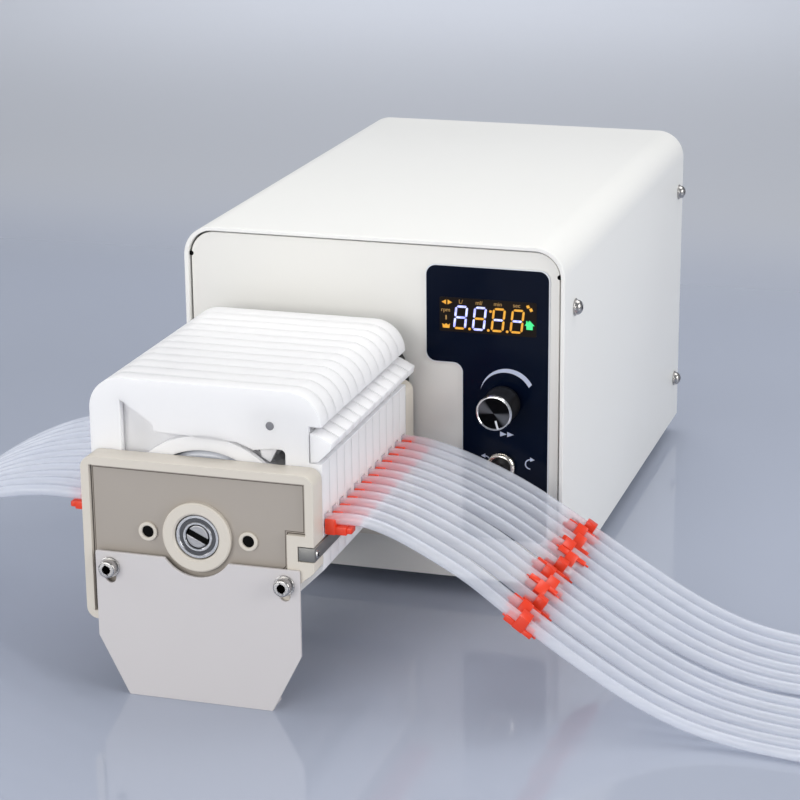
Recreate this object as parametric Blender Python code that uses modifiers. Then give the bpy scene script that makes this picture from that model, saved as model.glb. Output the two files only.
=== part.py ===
"""Twelve-channel peristaltic pump: a sheet-metal drive with a cartridge pump head on its front.

Units are metres. +X is right when facing the control panel, -Y is the front and +Z is up.
The table is z = 0, and the origin is the middle of the footprint at table height.
"""

import bmesh
import bpy
from math import cos, pi, radians, sin, sqrt
from mathutils import Matrix, Vector

# ---------------------------------------------------------------- driving dimensions
GAP = 0.0003                 # running and seating gap between neighbouring pieces

# Drive case
CASE_WIDTH = 0.180
CASE_TOP = 0.1687            # top of the cover above the table
CASE_DEPTH = 0.2760          # front rim to back edge of the cover
COVER_SHEET = 0.0020
CASE_CORNER = 0.0140         # outer radius of the cover's top edges
PANEL_GAP = 0.0009           # shadow gap between the cover and the front panel
RIM = 0.0020                 # the cover reaches this far in front of the panel
FOOT_HEIGHT = 0.0090
FOOT_RADIUS = 0.0090
FOOT_INSET = 0.0240
CHASSIS_SHEET = 0.0020
FLANGE_SHEET = 0.0015
FLANGE_HEIGHT = 0.0320       # lower side flanges that the cover screws into
TAB_LOW = 0.1260             # upper screw tabs
TAB_HIGH = 0.1500
TAB_DEPTH = 0.0230

# Head: two end plates, two rails, a rotor and the cartridges between them
CHANNELS = 12
HEAD_X = -0.0304             # rotor axis
AXIS_Z = 0.0730
HEAD_HALF = 0.0508           # half the width of the end plates
PLATE_BOTTOM = 0.0320
PLATE_TOP = 0.1039
PLATE_THICK = 0.0114
PLATE_CORNER = 0.0050
PLATE_CUT_HIGH = 0.0625      # the front plate is cut away below this at its right side,
PLATE_CUT_LOW = 0.0534       # and below this it is narrower
PLATE_CUT_HALF = 0.0400      # from the rotor axis to the narrower part's right side
ADAPTER_THICK = 0.0033
ADAPTER_HALF = 0.0480
ADAPTER_TOP = 0.1240
ADAPTER_BOTTOM = 0.0360
ADAPTER_CORNER = 0.0200
SPIGOT_RADIUS = 0.0097       # motor spigot through panel and adapter

RECESS_DEPTH = 0.0018
RIM_SIDE = 0.0036            # width of the front plate's raised border
BOSS_RADIUS = 0.0150
BOSS_PROUD = 0.0008
PORT_OFFSET = 0.0221         # small bosses left and right of the bearing
PORT_RADIUS = 0.0040
PORT_BORE = 0.0022

RAIL_WIDTH = 0.0072
RAIL_HEIGHT = 0.0060
RAIL_PROUD = 0.0005          # the rails stand proud of the plates' sides
RAIL_TOP = AXIS_Z + 0.0002

SHAFT_RADIUS = 0.0047
BEARING_OUTER = 0.0095
BEARING_BORE = SHAFT_RADIUS + GAP
BEARING_WIDTH = 0.0050
ROLLERS = 6
ROLLER_RADIUS = 0.0060
ROLLER_CIRCLE = 0.0210       # radius of the circle that the roller axes run on
JOURNAL_RADIUS = 0.0020
CARRIER_THICK = 0.0020

CARTRIDGE_THICK = 0.0094
CARTRIDGE_RISE = 0.0620      # top of the arch above the rotor axis
CARTRIDGE_DROP = 0.0240      # bottom of the hooks below the rotor axis
SHOULDER_RADIUS = 0.0140
LEG_WIDTH = 0.0136
HOOK_CUT = 0.0105            # cut corner at the foot of each leg
BED_WALL = 0.0060
WEB_LOW = 0.0162             # web that ties the pressing bed to the left leg
WEB_HIGH = 0.0254

PIN_X = 0.0288               # lever pivot, measured from the rotor axis
PIN_Z = 0.0469
PIN_RADIUS = 0.0020
LEVER_THICK = 0.0034
TAB_REACH = 0.0546           # tip of the lever's thumb tab from the rotor axis

TUBE_RADIUS = 0.00245
TUBE_RISE = 0.0075           # tubes cross the cartridge walls this far above the rotor axis
TUBE_SLACK = 0.00085         # room between an uncompressed tube and the rollers' outer circle
TUBE_WRAP_RADIUS = ROLLER_CIRCLE + ROLLER_RADIUS + TUBE_RADIUS + TUBE_SLACK
BED_SLACK = 0.00105          # room between the tube and the pressing bed
BED_INNER = TUBE_WRAP_RADIUS + TUBE_RADIUS + BED_SLACK
STOP_LENGTH = 0.0045
STOP_WIDTH = 0.0080
STOP_TOP = 0.0102
STOP_BOTTOM = 0.0018

# Support foot under the front plate
FOOT_SHEET = 0.0015
FOOT_HALF = 0.0450
FOOT_TOP = 0.0634
FOOT_SHOULDER = 0.0257
FOOT_BASE_HALF = 0.0320
FOOT_FLANGE = 0.0120
FOOT_RELIEF = 0.0170
SLOT_OFFSET = 0.0385
SLOT_Z = 0.0570
SLOT_RADIUS = 0.0024
SLOT_TRAVEL = 0.0050

# Controls on the front panel
OVERLAY_THICK = 0.0008
OVERLAY_LEFT = 0.0260
OVERLAY_RIGHT = 0.0825
OVERLAY_TOP = 0.1575
OVERLAY_STEP = 0.1130
OVERLAY_COLUMN = 0.0430
OVERLAY_BOTTOM = 0.0300
OVERLAY_CORNER = 0.0045
KNOB_X = 0.0625
KNOB_Z = 0.0965
KNOB_RADIUS = 0.0082
KNOB_STANDOFF = 0.0030
KNOB_HEIGHT = 0.0165
KNOB_BORE = 0.0030
KNOB_BORE_DEPTH = 0.0110
ENCODER_BODY = 0.0130
TOGGLE_X = 0.0615
TOGGLE_Z = 0.0660
TOGGLE_RING = 0.0064
TOGGLE_CUP = 0.0042
TOGGLE_LEVER = 0.0015
TOGGLE_LENGTH = 0.0125

# Motor and mains parts
MOTOR_SIDE = 0.0570
MOTOR_LENGTH = 0.0560
MOTOR_CORNER = 0.0050
INLET_X = 0.0450
INLET_Z = 0.0480
INLET_WIDTH = 0.0280
INLET_HEIGHT = 0.0480
INLET_DEPTH = 0.0260
BEZEL_LIP = 0.0020
BEZEL_THICK = 0.0025
ROCKER_WIDTH = 0.0180
ROCKER_HEIGHT = 0.0110
ROCKER_TILT = 8.0            # degrees either side of level; it rests switched off
ROCKER_PIVOT_DEPTH = 0.0050   # pivot behind the rear panel's face
ROCKER_DROP = 0.0095          # rocker's middle below the top of the inlet
SOCKET_RISE = 0.0165          # socket's middle above the bottom of the inlet
SOCKET_WIDTH = 0.0240
SOCKET_HEIGHT = 0.0170
SOCKET_CHAMFER = 0.0040
SOCKET_DEPTH = 0.0140

# Distances from the panel's face that follow from the sizes above
CHANNEL_PITCH = CARTRIDGE_THICK + GAP
REAR_PLATE_FRONT = 2 * GAP + ADAPTER_THICK + GAP + PLATE_THICK - GAP
STACK = CHANNELS * CHANNEL_PITCH + GAP
FRONT_PLATE_BACK = REAR_PLATE_FRONT + STACK
FRONT_PLATE_FACE = FRONT_PLATE_BACK + PLATE_THICK
FOOT_FACE = FRONT_PLATE_FACE + GAP + FOOT_SHEET
COVER_BACK = CASE_DEPTH - RIM
REAR_PANEL_BACK = COVER_BACK - 0.0015
BEZEL_BACK = REAR_PANEL_BACK + GAP + BEZEL_THICK
PANEL_Y = (FOOT_FACE - BEZEL_BACK) / 2.0

# Tube runs outside the head, as (x, z, sideways drift), chosen by hand.
# The front tube and the back tube are given, and the others lie between them.
RIGHT_FRONT_RUN = (
    (0.0290, 0.0812, 0.0000), (0.0380, 0.0806, 0.0000), (0.0500, 0.0770, 0.0000),
    (0.0660, 0.0694, 0.0000), (0.0810, 0.0609, 0.0000), (0.0965, 0.0498, 0.0000),
    (0.1120, 0.0391, 0.0000), (0.1300, 0.0275, 0.0000), (0.1480, 0.0173, -0.0004),
    (0.1640, 0.0103, -0.0010), (0.1800, 0.0059, -0.0020), (0.1960, 0.0036, -0.0034),
    (0.2120, 0.0028, -0.0052), (0.2280, 0.0027, -0.0072), (0.2440, 0.0027, -0.0092),
)
RIGHT_BACK_RUN = (
    (0.0290, 0.0803, 0.0000), (0.0380, 0.0787, 0.0000), (0.0500, 0.0753, 0.0000),
    (0.0660, 0.0692, 0.0000), (0.0810, 0.0620, 0.0000), (0.0965, 0.0529, 0.0000),
    (0.1120, 0.0434, 0.0000), (0.1300, 0.0324, 0.0000), (0.1480, 0.0217, 0.0000),
    (0.1640, 0.0136, 0.0000), (0.1800, 0.0076, 0.0000), (0.1960, 0.0042, 0.0000),
    (0.2120, 0.0029, 0.0000), (0.2280, 0.0027, 0.0000), (0.2440, 0.0027, 0.0000),
)
LEFT_RUN = (
    (-0.0900, 0.0809, 0.0000), (-0.1010, 0.0812, 0.0000), (-0.1130, 0.0803, 0.0000),
    (-0.1260, 0.0780, 0.0000), (-0.1400, 0.0740, 0.0000), (-0.1550, 0.0675, 0.0000),
    (-0.1700, 0.0590, 0.0000), (-0.1840, 0.0490, 0.0000), (-0.1970, 0.0380, 0.0000),
    (-0.2090, 0.0270, 0.0000), (-0.2210, 0.0170, 0.0000), (-0.2330, 0.0092, 0.0000),
    (-0.2460, 0.0045, 0.0000), (-0.2590, 0.0028, 0.0000), (-0.2740, 0.0027, 0.0000),
)
# How far each tube strays sideways, front tube first: at the second stop, and at its end
RIGHT_STRAY = (0.0000, -0.0008, 0.0012, 0.0004, -0.0004, -0.0012,
               0.0014, 0.0006, -0.0002, 0.0012, 0.0006, 0.0000)
RIGHT_END_STRAY = (0.0000, -0.0008, -0.0015, -0.0021, -0.0027, -0.0033,
                   0.0012, 0.0004, -0.0004, -0.0012, 0.0010, 0.0022)
LEFT_STRAY = (0.0000, 0.0012, -0.0008, 0.0008, -0.0012, 0.0004,
              0.0014, -0.0006, 0.0008, -0.0010, 0.0006, 0.0000)
LEFT_END_STRAY = (0.0000, -0.0006, 0.0010, -0.0004, -0.0012, 0.0012,
                  0.0004, 0.0010, -0.0010, 0.0006, -0.0004, 0.0000)
RUN_STEP = 0.0146            # three tube diameters between a run's points
OUTER_STOP_AT = 0.0920       # second stop, measured along the tube from the right wall


# ---------------------------------------------------------------- scene and helpers
for leftover in list(bpy.data.objects):
    bpy.data.objects.remove(leftover, do_unlink=True)

pump = bpy.data.collections.new("peristaltic_pump")
tools = bpy.data.collections.new("cutters")
bpy.context.scene.collection.children.link(pump)
bpy.context.scene.collection.children.link(tools)

root = bpy.data.objects.new("pump_root", None)
pump.objects.link(root)


def material(name, colour, roughness, metallic=0.0, alpha=1.0):
    """A Principled material with one colour."""
    made = bpy.data.materials.new(name)
    made.use_nodes = True
    shader = made.node_tree.nodes["Principled BSDF"]
    shader.inputs["Base Color"].default_value = (*colour, 1.0)
    shader.inputs["Roughness"].default_value = roughness
    shader.inputs["Metallic"].default_value = metallic
    shader.inputs["Alpha"].default_value = alpha
    return made


def add_object(name, mesh, home=pump):
    """Link a mesh as an object and shade its round faces smooth."""
    thing = bpy.data.objects.new(name, mesh)
    home.objects.link(thing)
    mesh.shade_smooth()
    mesh.set_sharp_from_angle(angle=radians(35.0))
    return thing


def as_cutter(thing):
    """Move an object to the cutters: it shapes others and isn't a piece itself."""
    for home in list(thing.users_collection):
        home.objects.unlink(thing)
    tools.objects.link(thing)
    thing.hide_render = True
    thing.display_type = "WIRE"
    return thing


def box(name, low, high):
    """A box between two corners."""
    mesh = bpy.data.meshes.new(name)
    shape = bmesh.new()
    bmesh.ops.create_cube(shape, size=1.0)
    size = [high[axis] - low[axis] for axis in range(3)]
    middle = [(high[axis] + low[axis]) / 2.0 for axis in range(3)]
    bmesh.ops.scale(shape, vec=size, verts=shape.verts)
    bmesh.ops.translate(shape, vec=middle, verts=shape.verts)
    shape.to_mesh(mesh)
    shape.free()
    return add_object(name, mesh)


def cylinder(name, centre_x, centre_z, front, back, radius, sides=24, end_radius=None):
    """A round bar along Y from front to back, or a cone with end_radius at the back."""
    mesh = bpy.data.meshes.new(name)
    shape = bmesh.new()
    bmesh.ops.create_cone(shape, cap_ends=True, segments=sides, radius1=radius,
                          radius2=radius if end_radius is None else end_radius,
                          depth=back - front)
    bmesh.ops.rotate(shape, matrix=Matrix.Rotation(-pi / 2.0, 3, "X"), verts=shape.verts)
    bmesh.ops.translate(shape, vec=(centre_x, (front + back) / 2.0, centre_z), verts=shape.verts)
    shape.to_mesh(mesh)
    shape.free()
    return add_object(name, mesh)


def post(name, centre_x, centre_y, low, high, radius, sides=20):
    """An upright round bar."""
    mesh = bpy.data.meshes.new(name)
    shape = bmesh.new()
    bmesh.ops.create_cone(shape, cap_ends=True, segments=sides, radius1=radius,
                          radius2=radius, depth=high - low)
    bmesh.ops.translate(shape, vec=(centre_x, centre_y, (low + high) / 2.0), verts=shape.verts)
    shape.to_mesh(mesh)
    shape.free()
    return add_object(name, mesh)


def mesh_from_curve(name, curve, matrix):
    """Turn a curve into a closed mesh object in place and drop the curve."""
    source = bpy.data.objects.new(name + "_curve", curve)
    source.matrix_world = matrix
    tools.objects.link(source)
    bpy.context.view_layer.update()
    evaluated = source.evaluated_get(bpy.context.evaluated_depsgraph_get())
    mesh = bpy.data.meshes.new_from_object(evaluated)
    mesh.name = name
    shape = bmesh.new()
    shape.from_mesh(mesh)
    bmesh.ops.remove_doubles(shape, verts=shape.verts, dist=0.00001)
    bmesh.ops.transform(shape, matrix=matrix, verts=shape.verts)
    bmesh.ops.recalc_face_normals(shape, faces=shape.faces)
    shape.to_mesh(mesh)
    shape.free()
    bpy.data.objects.remove(source, do_unlink=True)
    return add_object(name, mesh)


def prism(name, outlines, front, back):
    """Outlines of (x, z) points filled and carried from front to back along Y.

    The first outline is the outside, and any others are openings in it.
    """
    curve = bpy.data.curves.new(name, "CURVE")
    curve.dimensions = "2D"
    curve.fill_mode = "BOTH"
    curve.extrude = (back - front) / 2.0
    for outline in outlines:
        spline = curve.splines.new("POLY")
        spline.points.add(len(outline) - 1)
        for point, (across, up) in zip(spline.points, outline):
            point.co = (across, up, 0.0, 1.0)
        spline.use_cyclic_u = True
    upright = Matrix.Rotation(pi / 2.0, 4, "X")
    place = Matrix.Translation((0.0, (front + back) / 2.0, 0.0))
    return mesh_from_curve(name, curve, place @ upright)


def pipe(name, points, radius):
    """A round solid along a route, with filled ends and eight sides."""
    curve = bpy.data.curves.new(name, "CURVE")
    curve.dimensions = "3D"
    curve.fill_mode = "FULL"
    curve.bevel_depth = radius
    curve.bevel_resolution = 2
    curve.use_fill_caps = True
    spline = curve.splines.new("POLY")
    spline.points.add(len(points) - 1)
    for point, place in zip(spline.points, points):
        point.co = (*place, 1.0)
    return mesh_from_curve(name, curve, Matrix.Identity(4))


def boolean(thing, other, operation):
    """Cut or join one object with a cutter, exactly."""
    step = thing.modifiers.new(operation.lower() + "_" + other.name, "BOOLEAN")
    step.operation = operation
    step.solver = "EXACT"
    step.object = as_cutter(other)
    return thing


def cut(thing, *others):
    """Take other shapes out of an object."""
    for other in others:
        boolean(thing, other, "DIFFERENCE")
    return thing


def join(thing, *others):
    """Make other shapes one body with an object."""
    for other in others:
        boolean(thing, other, "UNION")
    return thing


def soften(thing, width, segments=1, angle=40.0):
    """Round an object's edges."""
    step = thing.modifiers.new("soften", "BEVEL")
    step.width = width
    step.segments = segments
    step.limit_method = "ANGLE"
    step.angle_limit = radians(angle)
    return thing


def piece(thing, look, pivot=None):
    """Give a finished piece its material, its parent and, if it moves, its origin."""
    thing.data.materials.clear()
    thing.data.materials.append(look)
    if pivot is not None:
        thing.data.transform(Matrix.Translation(-Vector(pivot)))
        thing.location = pivot
    thing.parent = root
    return thing


def arc(centre_x, centre_z, radius, start, end, steps):
    """Points on an arc, in degrees, both ends included."""
    points = []
    for index in range(steps + 1):
        angle = radians(start + (end - start) * index / steps)
        points.append((centre_x + radius * cos(angle), centre_z + radius * sin(angle)))
    return points


def rounded_box(left, right, bottom, top, radius, steps=4):
    """Outline of a rectangle with equal round corners."""
    outline = arc(right - radius, top - radius, radius, 0, 90, steps)
    outline += arc(left + radius, top - radius, radius, 90, 180, steps)
    outline += arc(left + radius, bottom + radius, radius, 180, 270, steps)
    outline += arc(right - radius, bottom + radius, radius, 270, 360, steps)
    return outline


def shift(points, across, up):
    """Move an outline."""
    return [(x + across, z + up) for x, z in points]


# ---------------------------------------------------------------- materials
CASE_WHITE = material("case_white", (0.78, 0.78, 0.76), 0.38)
CHASSIS_WHITE = material("chassis_white", (0.74, 0.73, 0.70), 0.42)
PLATE_BEIGE = material("plate_beige", (0.62, 0.58, 0.51), 0.48)
ADAPTER_BLACK = material("adapter_black", (0.01, 0.01, 0.01), 0.45)
CARTRIDGE_WHITE = material("cartridge_white", (0.86, 0.86, 0.87), 0.35)
LEVER_WHITE = material("lever_white", (0.84, 0.84, 0.86), 0.35)
STEEL = material("steel", (0.55, 0.55, 0.56), 0.28, 1.0)
RAIL_STEEL = material("rail_steel", (0.42, 0.43, 0.44), 0.40, 1.0)
ROLLER_STEEL = material("roller_steel", (0.60, 0.60, 0.61), 0.22, 1.0)
BEARING_STEEL = material("bearing_steel", (0.50, 0.51, 0.52), 0.25, 1.0)
SUPPORT_WHITE = material("support_white", (0.60, 0.59, 0.60), 0.45)
TUBE_CLEAR = material("tube_clear", (0.62, 0.66, 0.75), 0.18)
OVERLAY_NAVY = material("overlay_navy", (0.005, 0.010, 0.025), 0.30)
KNOB_BLACK = material("knob_black", (0.008, 0.008, 0.009), 0.30)
ENCODER_STEEL = material("encoder_steel", (0.45, 0.45, 0.46), 0.35, 1.0)
CHROME = material("chrome", (0.75, 0.74, 0.72), 0.12, 1.0)
TOGGLE_BLACK = material("toggle_black", (0.012, 0.012, 0.012), 0.40)
MOTOR_BLACK = material("motor_black", (0.02, 0.02, 0.02), 0.45)
INLET_BLACK = material("inlet_black", (0.012, 0.012, 0.012), 0.40)
ROCKER_BLACK = material("rocker_black", (0.015, 0.015, 0.015), 0.35)


# ---------------------------------------------------------------- drive case
def front_of_panel(distance):
    """World y of a place this far in front of the panel's face."""
    return PANEL_Y - distance


def case_outline(half, top, radius, bottom):
    """Half-round-shouldered case section, from bottom left over the top to bottom right."""
    outline = [(-half, bottom)]
    outline += arc(-half + radius, top - radius, radius, 180, 90, 6)
    outline += arc(half - radius, top - radius, radius, 90, 0, 6)
    outline.append((half, bottom))
    return outline


def make_cover():
    """Inverted U of painted sheet that slides over the chassis."""
    half = CASE_WIDTH / 2.0
    outer = case_outline(half, CASE_TOP, CASE_CORNER, FOOT_HEIGHT)
    inner = case_outline(half - COVER_SHEET, CASE_TOP - COVER_SHEET,
                         CASE_CORNER - COVER_SHEET, FOOT_HEIGHT)
    cover = prism("top_cover", [outer + inner[::-1]], PANEL_Y - RIM, PANEL_Y + COVER_BACK)
    piece(cover, CASE_WHITE)


def panel_outline():
    """Front and rear panels fill the cover's opening up to a shadow gap."""
    inset = COVER_SHEET + PANEL_GAP
    return case_outline(CASE_WIDTH / 2.0 - inset, CASE_TOP - inset, CASE_CORNER - inset, FOOT_HEIGHT)


def make_chassis():
    """Front panel, floor and rear panel in one bent sheet, on four feet."""
    front = PANEL_Y
    back = PANEL_Y + REAR_PANEL_BACK
    half = CASE_WIDTH / 2.0 - COVER_SHEET - GAP
    chassis = prism("chassis", [panel_outline()], front, front + CHASSIS_SHEET)
    rear = prism("rear_panel", [panel_outline()], back - CHASSIS_SHEET, back)
    floor_top = FOOT_HEIGHT + CHASSIS_SHEET
    flange_top = FOOT_HEIGHT + FLANGE_HEIGHT
    tray_outline = [
        (-half, FOOT_HEIGHT), (half, FOOT_HEIGHT), (half, flange_top),
        (half - FLANGE_SHEET, flange_top), (half - FLANGE_SHEET, floor_top),
        (-half + FLANGE_SHEET, floor_top), (-half + FLANGE_SHEET, flange_top),
        (-half, flange_top),
    ]
    tray = prism("tray", [tray_outline], front + CHASSIS_SHEET / 2.0, back - CHASSIS_SHEET / 2.0)
    join(chassis, rear, tray)
    for side in (-1.0, 1.0):
        low_x, high_x = sorted((side * half, side * (half - FLANGE_SHEET)))
        for start in (front + CHASSIS_SHEET / 2.0, back - CHASSIS_SHEET / 2.0 - TAB_DEPTH):
            tab = box("screw_tab", (low_x, start, TAB_LOW), (high_x, start + TAB_DEPTH, TAB_HIGH))
            join(chassis, tab)
        for foot_y in (front + FOOT_INSET, back - FOOT_INSET):
            foot = post("foot", side * (half - FOOT_INSET), foot_y, 0.0,
                        floor_top - CHASSIS_SHEET / 2.0, FOOT_RADIUS, 16)
            join(chassis, foot)
    through_front = (front - 0.01, front + 0.01)
    cut(chassis, cylinder("spigot_hole", HEAD_X, AXIS_Z, *through_front, SPIGOT_RADIUS + GAP, 20))
    cut(chassis, cylinder("encoder_hole", KNOB_X, KNOB_Z, *through_front, KNOB_BORE + 0.0012, 12))
    cut(chassis, cylinder("toggle_hole", TOGGLE_X, TOGGLE_Z, *through_front,
                          TOGGLE_RING - 0.0004 + GAP, 16))
    inlet_hole = box("inlet_hole",
                     (INLET_X - INLET_WIDTH / 2.0 - GAP, back - 0.01,
                      INLET_Z - INLET_HEIGHT / 2.0 - GAP),
                     (INLET_X + INLET_WIDTH / 2.0 + GAP, back + 0.01,
                      INLET_Z + INLET_HEIGHT / 2.0 + GAP))
    cut(chassis, inlet_hole)
    piece(chassis, CHASSIS_WHITE)


def make_overlay():
    """Dark control label: a wide display block over a narrow knob column."""
    corner = OVERLAY_CORNER
    outline = arc(OVERLAY_RIGHT - corner, OVERLAY_TOP - corner, corner, 0, 90, 3)
    outline += arc(OVERLAY_LEFT + corner, OVERLAY_TOP - corner, corner, 90, 180, 3)
    outline += arc(OVERLAY_LEFT + corner, OVERLAY_STEP + corner, corner, 180, 270, 3)
    outline += arc(OVERLAY_COLUMN - corner, OVERLAY_STEP - corner, corner, 90, 0, 3)
    outline += arc(OVERLAY_COLUMN + corner, OVERLAY_BOTTOM + corner, corner, 180, 270, 3)
    outline += arc(OVERLAY_RIGHT - corner, OVERLAY_BOTTOM + corner, corner, 270, 360, 3)
    knob_hole = arc(KNOB_X, KNOB_Z, KNOB_BORE + 0.0012, 0, 330, 11)
    toggle_hole = arc(TOGGLE_X, TOGGLE_Z, TOGGLE_RING - 0.0004 + GAP, 0, 337.5, 15)
    overlay = prism("control_overlay", [outline, knob_hole, toggle_hole],
                    front_of_panel(GAP + OVERLAY_THICK), front_of_panel(GAP))
    piece(overlay, OVERLAY_NAVY)


def make_knob():
    """Speed knob on a push-and-turn encoder shaft."""
    base = front_of_panel(GAP + OVERLAY_THICK + KNOB_STANDOFF)
    face = base - KNOB_HEIGHT
    knob = cylinder("speed_knob", KNOB_X, KNOB_Z, face, base, KNOB_RADIUS, 32)
    soften(knob, 0.0005)
    bore = cylinder("knob_bore", KNOB_X, KNOB_Z, base - KNOB_BORE_DEPTH, base + 0.001, KNOB_BORE, 16)
    cut(knob, bore)
    piece(knob, KNOB_BLACK, (KNOB_X, base, KNOB_Z))

    shaft_front = base - KNOB_BORE_DEPTH + GAP
    inside = PANEL_Y + CHASSIS_SHEET + 0.0020
    shaft = cylinder("encoder_shaft", KNOB_X, KNOB_Z, shaft_front, inside + 0.001,
                     KNOB_BORE - GAP, 16)
    collar = box("encoder_body",
                 (KNOB_X - ENCODER_BODY / 2.0, inside, KNOB_Z - ENCODER_BODY / 2.0),
                 (KNOB_X + ENCODER_BODY / 2.0, inside + 0.0065, KNOB_Z + ENCODER_BODY / 2.0))
    join(shaft, collar)
    piece(shaft, ENCODER_STEEL, (KNOB_X, inside, KNOB_Z))


def make_toggle():
    """Direction switch: a knurled ring nut with a lever that tips left and right."""
    ring_back = front_of_panel(2 * GAP + OVERLAY_THICK)
    ring_front = ring_back - 0.0035
    ring = cylinder("toggle_switch", TOGGLE_X, TOGGLE_Z, ring_front, ring_back, TOGGLE_RING, 24)
    neck = cylinder("toggle_neck", TOGGLE_X, TOGGLE_Z, ring_back - 0.001,
                    PANEL_Y + CHASSIS_SHEET + 0.004, TOGGLE_RING - 0.0004, 16)
    body = box("toggle_body",
               (TOGGLE_X - 0.0075, PANEL_Y + CHASSIS_SHEET + 0.003, TOGGLE_Z - 0.0062),
               (TOGGLE_X + 0.0075, PANEL_Y + CHASSIS_SHEET + 0.016, TOGGLE_Z + 0.0062))
    join(ring, neck, body)
    cup = cylinder("toggle_cup", TOGGLE_X, TOGGLE_Z, ring_front - 0.001, ring_back + 0.0055,
                   TOGGLE_CUP, 16)
    cut(ring, cup)
    piece(ring, CHROME)

    pivot_y = ring_back + 0.0030
    tip = ring_front - TOGGLE_LENGTH
    lever = cylinder("toggle_lever", TOGGLE_X, TOGGLE_Z, tip, pivot_y, TOGGLE_LEVER + 0.0004, 12,
                     TOGGLE_LEVER - 0.0002)
    ball_mesh = bpy.data.meshes.new("toggle_ball")
    ball_shape = bmesh.new()
    bmesh.ops.create_uvsphere(ball_shape, u_segments=12, v_segments=8, radius=0.0023)
    bmesh.ops.translate(ball_shape, vec=(TOGGLE_X, pivot_y, TOGGLE_Z), verts=ball_shape.verts)
    ball_shape.to_mesh(ball_mesh)
    ball_shape.free()
    join(lever, add_object("toggle_ball", ball_mesh))
    piece(lever, TOGGLE_BLACK, (TOGGLE_X, pivot_y, TOGGLE_Z))


def make_motor():
    """Square stepper motor behind the panel, its spigot centring the head."""
    half = MOTOR_SIDE / 2.0
    front = PANEL_Y + CHASSIS_SHEET + GAP
    outline = rounded_box(HEAD_X - half, HEAD_X + half, AXIS_Z - half, AXIS_Z + half,
                          MOTOR_CORNER, 1)
    motor = prism("stepper_motor", [outline], front, front + MOTOR_LENGTH)
    spigot = cylinder("motor_spigot", HEAD_X, AXIS_Z, front_of_panel(GAP), front + 0.001,
                      SPIGOT_RADIUS, 20)
    bore = cylinder("motor_bore", HEAD_X, AXIS_Z, front_of_panel(0.01), PANEL_Y + 0.0140,
                    SHAFT_RADIUS + 0.0008, 16)
    join(motor, spigot)
    cut(motor, bore)
    piece(motor, MOTOR_BLACK)


def make_mains():
    """Mains inlet with its rocker switch in one moulded frame on the rear panel."""
    back = PANEL_Y + REAR_PANEL_BACK
    left = INLET_X - INLET_WIDTH / 2.0
    right = INLET_X + INLET_WIDTH / 2.0
    bottom = INLET_Z - INLET_HEIGHT / 2.0
    top = INLET_Z + INLET_HEIGHT / 2.0
    inlet = box("power_inlet", (left, back - INLET_DEPTH, bottom), (right, back + 0.001, top))
    bezel = box("inlet_bezel", (left - BEZEL_LIP, back + GAP, bottom - BEZEL_LIP),
                (right + BEZEL_LIP, back + GAP + BEZEL_THICK, top + BEZEL_LIP))
    join(inlet, bezel)
    rocker_z = top - ROCKER_DROP
    socket_z = bottom + SOCKET_RISE
    reach = SOCKET_WIDTH / 2.0
    rise = SOCKET_HEIGHT / 2.0
    socket_outline = [
        (INLET_X - reach, socket_z - rise), (INLET_X + reach, socket_z - rise),
        (INLET_X + reach, socket_z + rise - SOCKET_CHAMFER),
        (INLET_X + reach - SOCKET_CHAMFER, socket_z + rise),
        (INLET_X - reach + SOCKET_CHAMFER, socket_z + rise),
        (INLET_X - reach, socket_z + rise - SOCKET_CHAMFER),
    ]
    cut(inlet, prism("socket_hole", [socket_outline], back - SOCKET_DEPTH, back + 0.01))
    for pin_x, pin_z in ((-0.0070, -0.0020), (0.0070, -0.0020), (0.0, 0.0025)):
        blade = box("socket_pin",
                    (INLET_X + pin_x - 0.0010, back - SOCKET_DEPTH - 0.0010, socket_z + pin_z - 0.0022),
                    (INLET_X + pin_x + 0.0010, back - 0.0030, socket_z + pin_z + 0.0022))
        join(inlet, blade)
    rocker_hole = box("rocker_hole",
                      (INLET_X - ROCKER_WIDTH / 2.0 - GAP, back - 0.0110,
                       rocker_z - ROCKER_HEIGHT / 2.0 - 0.0006),
                      (INLET_X + ROCKER_WIDTH / 2.0 + GAP, back + 0.01,
                       rocker_z + ROCKER_HEIGHT / 2.0 + 0.0006))
    cut(inlet, rocker_hole)
    piece(inlet, INLET_BLACK)

    pivot_y = back - ROCKER_PIVOT_DEPTH
    half = ROCKER_WIDTH / 2.0
    rocker = post("power_switch", 0.0, 0.0, -half, half, ROCKER_HEIGHT / 2.0, 20)
    lay_down = Matrix.Rotation(pi / 2.0, 4, "Y")
    rocker.data.transform(Matrix.Translation((INLET_X, pivot_y, rocker_z)) @ lay_down)
    paddle_outline = [
        (-ROCKER_HEIGHT / 2.0 + 0.0006, 0.0), (ROCKER_HEIGHT / 2.0 - 0.0006, 0.0),
        (ROCKER_HEIGHT / 2.0 - 0.0016, 0.0072), (0.0, 0.0064), (-ROCKER_HEIGHT / 2.0 + 0.0016, 0.0064),
    ]
    paddle = prism("rocker_paddle", [paddle_outline], -half, half)
    turn = Matrix(((0.0, 1.0, 0.0, 0.0), (0.0, 0.0, 1.0, 0.0), (1.0, 0.0, 0.0, 0.0),
                   (0.0, 0.0, 0.0, 1.0)))
    paddle.data.transform(Matrix.Translation((INLET_X, pivot_y, rocker_z)) @ turn)
    join(rocker, paddle)
    pivot = Vector((INLET_X, pivot_y, rocker_z))
    off = Matrix.Translation(pivot) @ Matrix.Rotation(radians(-ROCKER_TILT), 4, "X")
    for part in (rocker, paddle):
        part.data.transform(off @ Matrix.Translation(-pivot))
    piece(rocker, ROCKER_BLACK, pivot)


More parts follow.
